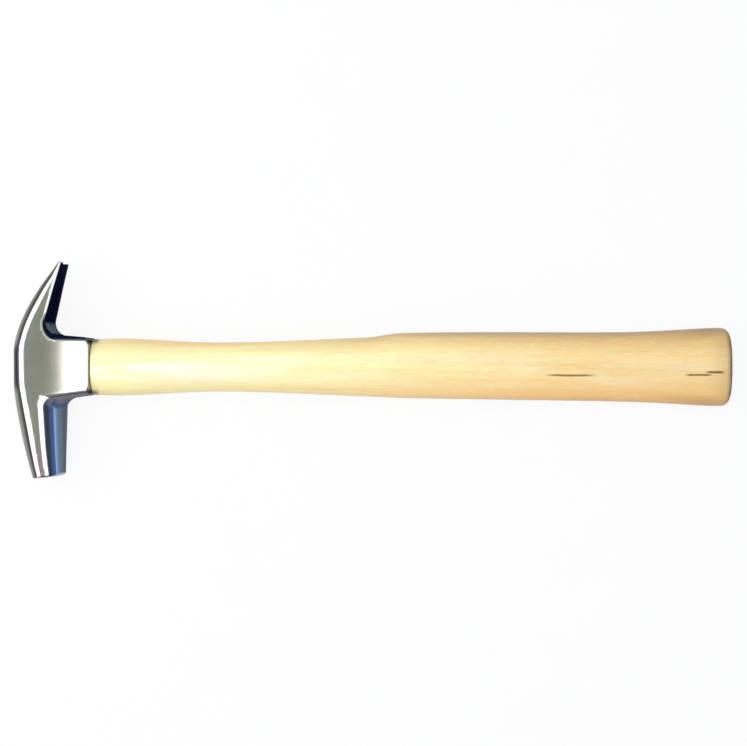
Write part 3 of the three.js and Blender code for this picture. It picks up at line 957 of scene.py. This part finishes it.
def polished_steel(scene, shift):
    """Polished steel, with painted dark reflection and shade under the claw and along the crown's edges,
    and painted reflections on the cheeks, the poll and the collar.
    """
    looks = scene.hammer_finishes
    collar_end = scene.hammer_head.collar_length / MM
    material, tree = new_material("polished_steel", shift)
    x, y, z = tree.millimetres()
    to_handle, to_claw, to_cheek = tree.normal()
    facing = to_cheek.absolute()
    lean = 0 - to_handle

    # The crown, the claw and its crook
    over_eye = y.absolute().fall(7, 13)
    # Painted dark reflection where the crown's edges turn away, darker beside the eye and lighter at the
    # outline
    crown = (lean - over_eye * 0.12).rise(0.36, 0.43) * lean.fall(0.92, 0.98)
    crown_dark_reflection = tree.mix(
        over_eye,
        tree.mix(lean.rise(0.45, 0.85), looks.crown, looks.crown_edge_reflection),
        tree.mix(lean.rise(0.6, 0.95), looks.eye_crown, looks.eye_crown_edge_reflection),
    )
    claw_side = y.rise(11, 13) * y.fall(47.8, 48.2)
    # Painted highlight on the rounded edge between the claw's cheek and its underside
    glint = y.rise(22, 26) * claw_side * to_handle.rise(0.14, 0.28) * to_handle.fall(0.62, 0.78)
    in_crook = y.fall(20, 26)
    under_claw = to_handle.rise(0.62, 0.78)
    beside_claw = (to_claw + in_crook * 0.13).rise(0.24, 0.4) * to_handle.rise(-0.25, -0.05)
    turned = in_crook * facing.fall(0.94, 0.99) * to_handle.rise(-0.1, 0.1)
    slot = z.absolute().fall(3.0, 3.6) * y.rise(21, 23) * to_handle.rise(-0.3, -0.1)
    # Painted dark reflection and shade under the claw, beside it, where it turns into the crook and
    # inside the nail slot
    crook = under_claw.highest(beside_claw, turned, slot) * claw_side
    # Painted paler reflection in the hollow of the crook
    hollow = facing.fall(0.1, 0.3) * to_handle.rise(0.35, 0.55) * to_claw.rise(-0.05, 0.3) * claw_side
    crook_dark_reflection = tree.layers(
        looks.crook, ((0 - z).rise(1, 10), looks.far_crook_shade), (hollow, looks.hollow)
    )
    # Painted grey-green reflection on the edge of the crook, over the lamp's own reflection
    lip = in_crook * claw_side * x.fall(18, 21) * to_handle.rise(-0.07, -0.01)

    # The poll and the collar
    # Painted blue reflection under the poll
    under_poll_reflection = y.fall(-17.5, -15) * to_handle.rise(0.02, 0.1)
    by_poll = y.fall(-9.5, -8)
    in_fillet = y.rise(-20, -17) * by_poll
    # Painted reflections low on the poll, in the fillet to the collar, on the collar's side and along the
    # fold of its flat
    low = (facing - in_fillet * 0.2).fall(0.6, 0.78) * lean.fall(-0.05, 0.1)
    poll_edge = low * by_poll * y.rise(-49.5, -48.5)
    beside_poll = (0 - to_claw).rise(0.35, 0.8)
    seam = in_fillet * y.rise(-15.5, -13) * facing.rise(0.68, 0.86)
    low_poll_reflection = tree.layers(
        looks.poll_edge,
        (to_handle.rise(0.84, 1.0), looks.poll_rim_reflection),
        (in_fillet, looks.fillet),
        (beside_poll, looks.collar_side_reflection),
        (seam, looks.seam),
    )
    # Painted reflection of the wood on the collar's rim, with painted shade at its corners
    rim = x.rise(collar_end - 1.2, collar_end - 0.5) * to_handle.rise(0.2, 0.6)
    rim_reflection_and_shade = tree.mix(y.absolute().rise(9, 11.5), looks.collar_rim_wood_reflection, looks.shoulder)

    cloud = tree.noise(tree.place(), 90.0, 3.0)
    pits = tree.noise(tree.place(), 900.0, 2.0).rise(0.68, 0.74)
    polish = tree.grain((60, 1500, 60), 2.0)
    base = tree.layers(
        looks.cheek_grey,
        # Painted reflection tints on the cheeks: green along the crown, straw below it, warm at the
        # collar's flat, rosy towards the face
        (x.fall(4, 9) * facing.rise(0.6, 0.9), looks.cheek_green_reflection),
        (x.rise(8, 12), looks.cheek_straw_reflection),
        (x.rise(14, 20), looks.cheek_warm_reflection),
        (y.fall(-44, -28), looks.cheek_rosy_reflection),
        (cloud.rise(0.35, 0.7) * 0.5, looks.polished),
        (pits * 0.35, looks.pits),
        (under_poll_reflection, looks.underside),
        (poll_edge, low_poll_reflection),
        (crown, crown_dark_reflection),
        (glint, looks.claw_edge_highlight),
        (lip, looks.crook_lip_reflection),
        (crook, crook_dark_reflection),
        (rim, rim_reflection_and_shade),
    )
    poll_reflection_matt = poll_edge * (0.7 + beside_poll * 0.2).highest(seam)
    matt = crook.highest(crown * 0.95, poll_reflection_matt, glint, lip, rim)
    surface(
        tree,
        {
            "Base Color": base,
            "Metallic": 1 - matt,
            "Roughness": 0.1 + cloud * 0.05 + polish * 0.04 + matt * 0.3 + pits * 0.1,
            "Normal": tree.bump(polish, 0.04, 0.05),
            "Specular IOR Level": 0.0,
        },
    )
    return material


# Each mineral streak's middle along and across the handle, half length and half width, in millimetres
STREAKS = ((255.4, -3.95, 12.0, 0.55), (313.6, -3.6, 6.6, 0.55), (321.0, -2.4, 4.6, 0.5))


def hickory(scene, shift):
    """Lacquered hickory: pale at the head, tan at the butt, with long grain and mineral streaks."""
    handle, looks = scene.hammer_handle, scene.hammer_finishes
    collar_end = scene.hammer_head.collar_length / MM
    start = collar_end + handle.clearance / MM
    run = handle.length_over_all / MM
    material, tree = new_material("hickory", shift)
    x, y, z = tree.millimetres()
    along = (x - start) / run
    to_butt, to_claw, _ = tree.normal()
    to_poll = 0 - to_claw
    sideways = to_claw.absolute()

    broad = tree.grain((5, 95, 95), 3.0, 0.5, 0.4)
    lines = tree.grain((9, 420, 420), 4.0, 0.6, 0.2)
    pores = tree.grain((70, 1700, 1700), 2.0, 0.5)
    mottle = tree.grain((60, 300, 300), 4.0, 0.65, 0.8)
    flecks = tree.grain((170, 760, 760), 3.0, 0.6, 0.4)
    patches = tree.grain((16, 190, 190), 4.0, 0.6, 0.5)
    rings = tree.grain((20, 260, 900), 3.0, 0.6).rise(0.35, 0.65)

    # Painted shade on the flanks and edges, painted highlight in pale patches, and painted shade on the
    # grip and the butt
    # Painted shade on the flanks, deeper towards the butt
    side = tree.mix(to_poll.rise(-0.1, 0.1), looks.flank, looks.warm_flank)
    flank = sideways.rise(0.02, 0.8) * (0.06 + 0.76 * along.rise(0.02, 0.9))
    # Painted shade at the handle's edges by the head, stronger on the claw's side
    edge = to_claw.rise(0.5, 0.95) * 0.6 * along.rise(0.01, 0.06) + to_poll.rise(0.5, 0.95) * 0.12
    # Painted highlight in pale patches along the middle of the handle, fading towards the butt
    highlight_patches = patches.rise(0.42, 0.62) * (to_claw + 0.12).absolute().fall(0.1, 0.5)
    # Painted shade on the grip's flanks, the butt's sides and the last millimetres of the butt
    held_shade = to_claw.rise(0.6, 1.0) * along.rise(0.3, 0.6) * 0.5
    held_shade = held_shade + to_poll.rise(0.75, 1.0) * along.rise(0.4, 1.0) * 0.3
    worn_shade = sideways.rise(0.3, 0.95) * along.rise(0.84, 0.97) * 0.45
    rubbed_shade = to_claw.rise(0.62, 0.9) * along.rise(0.87, 0.96) * 0.6
    butt_end_shade = along.rise(0.95, 0.995) * 0.22
    # Painted shadow on the wood beside the collar, along the flanks and in the corners, with a ragged
    # edge
    in_corner = to_butt.fall(-0.6, -0.2) * y.absolute().rise(9.5, 11.5)
    corner_shadow_reach = (x - start + (mottle - 0.5) * 3).fall(1.2, 4.2)
    shoulder = corner_shadow_reach * sideways.rise(0.68, 0.9).highest(in_corner)

    wander = (lines - 0.5) * 1.4 + (mottle - 0.5) * 0.5
    marks = []
    for middle_x, middle_y, half_length, half_width in STREAKS:
        across = ((y - middle_y + wander) / half_width).absolute()
        lengthways = ((x - middle_x) / half_length).absolute()
        marks.append(across.fall(0.3, 1.3) * lengthways.fall(0.5, 1.1) * (0.6 + pores))
    streaks = marks[0].highest(*marks[1:]) * z.rise(0, 5)

    butt_end = x.rise(start + run - 3.2, start + run - 0.6)
    tenon_end = x.fall(collar_end * 0.5, collar_end * 0.6)
    colour = tree.layers(
        looks.pale_wood,
        (along.rise(0.12, 0.95), looks.tan_wood),
        (flank, side),
        (edge * along.fall(0.1, 0.6), looks.amber),
        (mottle.rise(0.45, 0.7) * (0.15 + 0.45 * along.rise(0.2, 0.8)), looks.amber),
        (flecks.rise(0.5, 0.72) * (0.1 + 0.3 * along.rise(0.2, 0.7)), looks.amber),
        (flecks.fall(0.3, 0.48) * 0.3, looks.pale_wood),
        (highlight_patches * (0.75 - 0.55 * along.rise(0.1, 0.5)), looks.sapwood),
        (broad.rise(0.38, 0.72) * 0.24, looks.grain),
        (lines.rise(0.5, 0.78) * 0.3, looks.grain),
        (pores.rise(0.6, 0.8) * 0.24, looks.grain),
        (held_shade.highest(worn_shade, rubbed_shade, butt_end_shade), looks.dusk),
        (shoulder * 0.92, looks.shoulder),
        (streaks * 0.8, looks.mineral),
        (butt_end, tree.mix(rings, looks.butt_wood, looks.butt_ring)),
        (tenon_end, tree.mix(rings, looks.tenon_wood, looks.tenon_ring)),
    )
    bare = butt_end.highest(tenon_end)
    surface(
        tree,
        {
            "Base Color": colour,
            "Roughness": 0.42 + lines * 0.14 + pores * 0.06 + bare * 0.2,
            "Normal": tree.bump(lines * 0.6 + pores * 0.4, 0.12, 0.2),
            "Coat Weight": (1 - bare) * 0.3,
            "Coat Roughness": 0.16,
            "Specular IOR Level": 0.35,
        },
    )
    return material


def wedge_wood(scene, shift):
    """Plain dark wood with its grain running down the wedge."""
    pale = scene.hammer_finishes.wedge_wood
    material, tree = new_material("wedge_wood", shift)
    lines = tree.grain((60, 700, 700), 4.0, 0.6)
    colour = tree.mix(lines.rise(0.3, 0.7), pale, tuple(0.5 * part for part in pale))
    bump = tree.bump(lines, 0.2, 0.2)
    surface(tree, {"Base Color": colour, "Roughness": 0.55 + lines * 0.2, "Normal": bump})
    return material


def wedge_steel(scene, shift):
    """Dull steel, hammered bright in spots."""
    dull = scene.hammer_finishes.wedge_steel
    material, tree = new_material("wedge_steel", shift)
    spots = tree.noise(tree.place(), 700.0, 4.0, 0.6)
    fine = tree.noise(tree.place(), 3000.0, 3.0)
    colour = tree.mix(spots.rise(0.4, 0.65), dull, tuple(1.7 * part for part in dull))
    bump = tree.bump(fine + spots, 0.15, 0.1)
    rough = 0.34 + spots * 0.2
    surface(tree, {"Base Color": colour, "Metallic": 1.0, "Roughness": rough, "Normal": bump})
    return material


def dress(piece, material, slot, *nodes):
    """Give a finished piece its material, hide the parts it stands for and attach it to the root body."""
    piece.data.materials.clear()
    piece.data.materials.append(material)
    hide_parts(*nodes)
    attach(piece, "root")


# Operators

# Edges that turn more than these stay sharp
HEAD_CREASE = math.radians(34)
HANDLE_CREASE = math.radians(40)
WEDGE_CREASE = math.radians(30)

# How far cutting shapes reach past what they cut
CUTTER_OVERRUN = 2 * MM
CUTTER_LEAD = 1 * MM

# Sides of the round billet, and sections along it
OVAL_POINTS = 96
HANDLE_STEPS = 110
SHOULDER_STEPS = 6
BUTT_STEPS = 8

# Softened edges of the wedges
WOOD_BEVEL = 0.12 * MM
STEEL_BEVEL = 0.08 * MM
BEVEL_FROM = math.radians(25)
WOOD_STEPS = 6


class HAMMER_OT_forge_head(bpy.types.Operator):
    """Forge the head: outline, cheeks, face, eye and nail slot"""

    bl_idname = "hammer.forge_head"
    bl_label = "Forge the head"

    def execute(self, context):
        head = context.scene.hammer_head
        shift = frame_shift(context.scene)
        height_at = cheek_surface(head)
        piece = sweep("forged_head", head_rings(head, height_at))
        grid_cheek(piece, height_at)
        mirror = piece.modifiers.new("Other cheek", "MIRROR")
        mirror.use_axis = (False, False, True)
        mirror.merge_threshold = NEAR
        activate(piece)
        bpy.ops.object.modifier_apply(modifier=mirror.name)
        round_face(piece, head)
        drift = eye_rings(head, 0, head.collar_length + CUTTER_OVERRUN, 0.0, head.eye_lip)
        cut(piece, sweep("eye_drift", drift))
        cut(piece, sweep("slot_file", slot_rings(head)))
        finish_piece(piece, shift, HEAD_CREASE)
        dress(piece, polished_steel(context.scene, shift), "polished_steel", "hammer_head")
        return {"FINISHED"}


def handle_stations(handle):
    """Place from the shoulder, width, thickness and side shift of each section of the handle."""
    names = ("shoulder", "swell", "waist", "neck", "grip", "palm", "butt")
    places = [0, *(getattr(handle, f"{name}_place") for name in names[1:-1])]
    places.append(handle.length_over_all - handle.butt_flare)

    def through(measure):
        sizes = [getattr(handle, f"{name}_{measure}") for name in names]
        return smooth(list(zip(places, sizes)))

    width_at, thickness_at = through("width"), through("thickness")
    step_at = smooth(
        [(handle.neck_place, 0.0), (handle.grip_place, handle.grip_step), (handle.palm_place, 0.0)]
    )

    def station(place, inset):
        step = step_at(place)
        return (place, width_at(place) + step - 2 * inset, thickness_at(place) - 2 * inset, step / 2)

    stations = []
    for turn in spread(0, math.pi / 2, SHOULDER_STEPS):
        inset = handle.shoulder_round * (1 - math.sin(turn))
        stations.append(station(handle.shoulder_round * (1 - math.cos(turn)), inset))
    last = handle.length_over_all - handle.butt_round
    for place in spread(handle.shoulder_round, last, HANDLE_STEPS)[1:-1]:
        stations.append(station(place, 0.0))
    for turn in spread(0, math.pi / 2, BUTT_STEPS):
        inset = handle.butt_round * (1 - math.cos(turn))
        stations.append(station(last + handle.butt_round * math.sin(turn), inset))
    return stations


class HAMMER_OT_shave_handle(bpy.types.Operator):
    """Shave the handle from a round billet, shoulder to butt, and saw its tenon"""

    bl_idname = "hammer.shave_handle"
    bl_label = "Shave the handle"

    def execute(self, context):
        scene = context.scene
        head, handle, wedges = scene.hammer_head, scene.hammer_handle, scene.hammer_wedges
        shift = frame_shift(scene)
        shoulder = head.collar_length + handle.clearance
        stations = handle_stations(handle)
        place, width, thickness, aside = stations[0]
        start_clean()
        bpy.ops.mesh.primitive_circle_add(
            vertices=OVAL_POINTS, radius=0.5, fill_type="NGON", location=(shoulder + place, aside, 0)
        )
        piece = context.active_object
        piece.name = "shaved_handle"
        piece.data.name = "shaved_handle"
        bpy.ops.object.transform_apply(location=True, rotation=True, scale=True)
        power = 2 / handle.squareness
        for vertex in piece.data.vertices:
            turn = math.atan2(vertex.co.y - aside, vertex.co.x - shoulder - place)
            cos, sin = math.cos(turn), math.sin(turn)
            y = math.copysign(abs(cos) ** power, cos) * width / 2
            z = math.copysign(abs(sin) ** power, sin) * thickness / 2
            vertex.co = (shoulder + place, aside + y, z)
        bpy.ops.object.mode_set(mode="EDIT")
        bpy.ops.mesh.select_mode(type="FACE")
        bpy.ops.mesh.select_all(action="SELECT")
        for before, after in zip(stations, stations[1:]):
            extrude((after[0] - before[0], after[3] - before[3], 0))
            bpy.ops.transform.resize(
                value=(1, after[1] / before[1], after[2] / before[2]),
                center_override=(shoulder + after[0], after[3], 0),
            )
        bpy.ops.mesh.select_all(action="SELECT")
        bpy.ops.mesh.normals_make_consistent(inside=False)
        bpy.ops.object.mode_set(mode="OBJECT")

        inside = shoulder + 2 * handle.shoulder_round
        tenon = sweep("tenon", eye_rings(head, handle.tenon_setback, inside, handle.tenon_gap))
        cut(piece, tenon, "UNION")
        kerf = [
            (-CUTTER_LEAD, wedges.wood_thickness),
            (0, wedges.wood_thickness),
            (wedges.wood_depth + CUTTER_OVERRUN, wedges.wood_tip),
        ]
        cut(piece, sweep("kerf", wedge_rings(handle, kerf, head.eye_collar_length, wedges.gap)))
        for side in (1, -1):
            cut(piece, steel_pocket(handle, wedges, side))
        finish_piece(piece, shift, HANDLE_CREASE)
        dress(piece, hickory(scene, shift), "hickory", "handle")
        return {"FINISHED"}


def wedge_rings(handle, profile, width, gap, across=None):
    """Four-cornered rings of a wedge from (depth, thickness) pairs, which may stand across the head."""
    rings = []
    for depth, thickness in profile:
        x = handle.tenon_setback + depth
        side, half = width / 2 + gap, thickness / 2 + gap
        corners = ((side, half), (-side, half), (-side, -half), (side, -half))
        if across is None:
            rings.append([(x, long, thin) for long, thin in corners])
        else:
            rings.append([(x, across + thin, long) for long, thin in corners])
    return rings


def steel_pocket(handle, wedges, side):
    """The room that a steel wedge has cut for itself."""
    profile = [
        (-CUTTER_LEAD, wedges.steel_thickness),
        (0, wedges.steel_thickness),
        (wedges.steel_depth + wedges.gap, wedges.steel_tip),
    ]
    across = side * wedges.steel_pitch / 2
    return sweep("pocket", wedge_rings(handle, profile, wedges.steel_width, wedges.gap, across))


def soften(piece, width):
    """Bevel a piece's edges."""
    bevel = piece.modifiers.new("Soft edges", "BEVEL")
    bevel.width = width
    bevel.segments = 2
    bevel.limit_method = "ANGLE"
    bevel.angle_limit = BEVEL_FROM
    activate(piece)
    bpy.ops.object.modifier_apply(modifier=bevel.name)


class HAMMER_OT_split_wooden_wedge(bpy.types.Operator):
    """Split the wooden wedge and drive it into the tenon's kerf"""

    bl_idname = "hammer.split_wooden_wedge"
    bl_label = "Split the wooden wedge"

    def execute(self, context):
        scene = context.scene
        head, handle, wedges = scene.hammer_head, scene.hammer_handle, scene.hammer_wedges
        shift = frame_shift(scene)
        profile = [
            (wedges.wood_depth * t, lerp(wedges.wood_thickness, wedges.wood_tip, t))
            for t in spread(0, 1, WOOD_STEPS)
        ]
        width = head.eye_waist_length - 2 * handle.clearance
        piece = sweep("split_wedge", wedge_rings(handle, profile, width, 0.0))
        for side in (1, -1):
            cut(piece, steel_pocket(handle, wedges, side))
        soften(piece, WOOD_BEVEL)
        finish_piece(piece, shift, WEDGE_CREASE)
        dress(piece, wedge_wood(scene, shift), "wedge_wood", "wooden_wedge")
        return {"FINISHED"}


class HAMMER_OT_drive_steel_wedges(bpy.types.Operator):
    """Make the barbed steel wedge once and drive two of them across the wooden one"""

    bl_idname = "hammer.drive_steel_wedges"
    bl_label = "Drive the steel wedges"

    def execute(self, context):
        scene = context.scene
        handle, wedges = scene.hammer_handle, scene.hammer_wedges
        shift = frame_shift(scene)
        material = wedge_steel(scene, shift)

        def thickness_at(depth):
            return lerp(wedges.steel_thickness, wedges.steel_tip, depth / wedges.steel_depth)

        profile = []
        run = wedges.steel_depth / wedges.barb_count
        for barb in range(wedges.barb_count):
            top, bottom = barb * run, (barb + 1) * run - wedges.barb_step
            profile += [(top, thickness_at(top)), (bottom, thickness_at(bottom) - 2 * wedges.barb_step)]
        front = sweep("barbed_wedge_front", wedge_rings(handle, profile, wedges.steel_width, 0.0, 0.0))
        soften(front, STEEL_BEVEL)
        activate(front)
        bpy.ops.object.duplicate(linked=False)
        rear = context.active_object
        rear.name = "barbed_wedge_rear"
        rear.data.name = "barbed_wedge_rear"
        for piece, side, node in ((front, 1, "steel_wedge_front"), (rear, -1, "steel_wedge_rear")):
            aside = Vector((0, side * wedges.steel_pitch / 2, 0))
            finish_piece(piece, shift + aside, WEDGE_CREASE)
            dress(piece, material, "wedge_steel", node)
        return {"FINISHED"}


# The floor's rim, which rises in steps and flares less with each
FLOOR_POINTS = 96
FLOOR_RIM_STEPS = 8
FLOOR_RIM_LIFT = 0.03
FLOOR_RIM_FLARE = 0.08

# How much of the floor's white is seen, so that it keeps the hammer's shadow
FLOOR_WHITE = 0.9

# Each lamp's place, what it faces, its long way, its size in metres, and whether steel mirrors it
ALONG_X, ALONG_Y = (1, 0, 0), (0, 1, 0)
SOFTBOXES = {
    "overhead": ((-0.245, -0.05, 0.87), (-0.245, -0.05, 0), ALONG_Y, (1.2, 0.31), True),
    "left": ((-0.80822, 0, 0.6338), (-0.15, 0, 0.02), ALONG_Y, (1.5, 0.55), True),
    "front": ((0.1, -0.8, 0.65), (0.1, 0, 0), ALONG_X, (1.3, 0.6), False),
    "grip": ((0.13, 0.15, 0.9), (0.13, 0.15, 0), ALONG_X, (0.6, 0.4), False),
    "back": ((-0.18, 0.5, 0.3), (-0.18, 0, 0.01), ALONG_X, (0.3, 0.25), False),
}

# The room's light, from the handle's side over the top to the crown's side
ROOM = (
    (0.0, (0.16, 0.26, 0.3)),
    (0.07, (0.16, 0.26, 0.32)),
    (0.095, (0.62, 0.95, 1.4)),
    (0.135, (0.62, 0.95, 1.4)),
    (0.165, (0.13, 0.23, 0.5)),
    (0.265, (0.13, 0.215, 0.4)),
    (0.33, (0.08, 0.105, 0.12)),
    (0.46, (0.06, 0.07, 0.08)),
    (0.58, (0.285, 0.305, 0.265)),
    (0.68, (0.285, 0.305, 0.265)),
    (0.84, (0.05, 0.045, 0.05)),
    (1.0, (0.05, 0.04, 0.055)),
)


def floor_material(stage):
    """Pale paper that shows white behind the hammer and keeps its shadow."""
    material, tree = new_material("pale_floor")
    fibre = tree.noise(tree.place(), 40.0, 4.0)
    tint = tuple(0.97 * part for part in stage.floor_tone)
    colour = tree.mix(fibre.rise(0.3, 0.7), stage.floor_tone, tint)
    paper = tree.add("ShaderNodeBsdfDiffuse", None, {"Color": colour})
    white = tree.add("ShaderNodeEmission", None, {"Color": (1, 1, 1, 1), "Strength": 1.0})
    path = tree.nodes.new("ShaderNodeLightPath")
    names = ("Is Camera Ray", "Is Glossy Ray", "Is Transmission Ray")
    camera, glossy, transmission = (Value(tree, path.outputs[name]) for name in names)
    seen = camera.highest(glossy, transmission)
    mixed = tree.add("ShaderNodeMixShader", None, {0: seen * FLOOR_WHITE, 1: paper, 2: white})
    tree.add("ShaderNodeOutputMaterial", None, {"Surface": mixed})
    return material


def softbox(name, radiance, place, towards, long_way, size):
    """An area light whose strength is what a mirror sees of it. Its first size runs the long way."""
    light = bpy.data.lights.new(name, "AREA")
    light.shape = "RECTANGLE"
    light.size, light.size_y = size
    light.energy = radiance * math.pi * size[0] * size[1]
    lamp = bpy.data.objects.new(name, light)
    bpy.context.scene.collection.objects.link(lamp)
    back = (Vector(place) - Vector(towards)).normalized()
    side = Vector(long_way)
    turn = Matrix((side, back.cross(side), back)).transposed()
    lamp.matrix_world = Matrix.Translation(place) @ turn.to_4x4()
    lamp.visible_camera = False
    return lamp


def studio_world(world, ends):
    """A dim room round the lamps: grey overhead, dark on the left, blue on the handle's side."""
    tree = Tree(world)
    x, y, z = tree.axes(tree.add("ShaderNodeTexCoord", output=0))
    round_axis = z.math("ARCTAN2", z, x) / math.pi
    room = tree.add("ShaderNodeValToRGB", {"stops": ROOM}, {"Fac": round_axis})
    colour = tree.mix(y.absolute().rise(0.45, 0.8), room, ends)
    background = tree.add("ShaderNodeBackground", None, {"Color": colour, "Strength": 1.0})
    tree.add("ShaderNodeOutputWorld", None, {"Surface": background})


class HAMMER_OT_set_stage(bpy.types.Operator):
    """Set the floor, the lamps, the room and the camera"""

    bl_idname = "hammer.set_stage"
    bl_label = "Set the stage"

    def execute(self, context):
        scene = context.scene
        stage = scene.hammer_stage
        start_clean()
        bpy.ops.mesh.primitive_circle_add(
            vertices=FLOOR_POINTS, radius=stage.floor_radius, fill_type="NGON"
        )
        floor = context.active_object
        floor.name = "pale_floor"
        bpy.ops.object.mode_set(mode="EDIT")
        bpy.ops.mesh.select_mode(type="EDGE")
        bpy.ops.mesh.select_all(action="DESELECT")
        rim = bmesh.from_edit_mesh(floor.data)
        for edge in rim.edges:
            edge.select_set(True)
        bmesh.update_edit_mesh(floor.data)
        lift = {"value": (0, 0, stage.floor_radius * FLOOR_RIM_LIFT)}
        for turn in spread(0, math.pi / 2, FLOOR_RIM_STEPS)[1:]:
            bpy.ops.mesh.extrude_edges_move(TRANSFORM_OT_translate=lift)
            wider = 1 + FLOOR_RIM_FLARE * math.cos(turn)
            bpy.ops.transform.resize(value=(wider, wider, 1), center_override=(0, 0, 0))
        bpy.ops.object.mode_set(mode="OBJECT")
        bpy.ops.object.shade_smooth()
        floor.data.materials.append(floor_material(stage))

        for name, (*setting, mirrored) in SOFTBOXES.items():
            lamp = softbox(f"{name}_softbox", getattr(stage, name), *setting)
            lamp.visible_glossy = mirrored
        scene.world = bpy.data.worlds.new("studio_room")
        studio_world(scene.world, stage.room_ends)
        camera = bpy.data.cameras.new("camera")
        camera.sensor_width = 36.0
        camera.lens = stage.lens
        eye = bpy.data.objects.new("camera", camera)
        scene.collection.objects.link(eye)
        eye.location = stage.camera_place
        scene.camera = eye
        scene.view_settings.view_transform = "Standard"
        return {"FINISHED"}


class HAMMER_PT_panel(bpy.types.Panel):
    """Lists the pieces of the hammer"""

    bl_idname = "HAMMER_PT_panel"
    bl_label = "Driving hammer"
    bl_space_type = "VIEW_3D"
    bl_region_type = "UI"
    bl_category = "Hammer"

    def draw(self, context):
        for operator in OPERATORS:
            self.layout.operator(operator.bl_idname)
        for group in GROUPS:
            box = self.layout.box()
            box.label(text=group.replace("hammer_", "").capitalize())
            for name in GROUPS[group].__annotations__:
                label = name.replace("_", " ").capitalize()
                box.prop(getattr(context.scene, group), name, text=label)


GROUPS = {
    "hammer_head": HammerHeadSizes,
    "hammer_handle": HammerHandleSizes,
    "hammer_wedges": HammerWedgeSizes,
    "hammer_finishes": HammerFinishes,
    "hammer_stage": HammerStage,
}
OPERATORS = (
    HAMMER_OT_set_stage,
    HAMMER_OT_forge_head,
    HAMMER_OT_shave_handle,
    HAMMER_OT_split_wooden_wedge,
    HAMMER_OT_drive_steel_wedges,
)


def register():
    for group in GROUPS.values():
        bpy.utils.register_class(group)
    for operator in OPERATORS:
        bpy.utils.register_class(operator)
    bpy.utils.register_class(HAMMER_PT_panel)
    for name, group in GROUPS.items():
        setattr(bpy.types.Scene, name, PointerProperty(type=group))


def unregister():
    for name in GROUPS:
        delattr(bpy.types.Scene, name)
    bpy.utils.unregister_class(HAMMER_PT_panel)
    for operator in reversed(OPERATORS):
        bpy.utils.unregister_class(operator)
    for group in GROUPS.values():
        bpy.utils.unregister_class(group)


def main():
    register()
    bpy.ops.hammer.set_stage()
    bpy.ops.hammer.forge_head()
    bpy.ops.hammer.shave_handle()
    bpy.ops.hammer.split_wooden_wedge()
    bpy.ops.hammer.drive_steel_wedges()


if __name__ == "__main__":
    main()
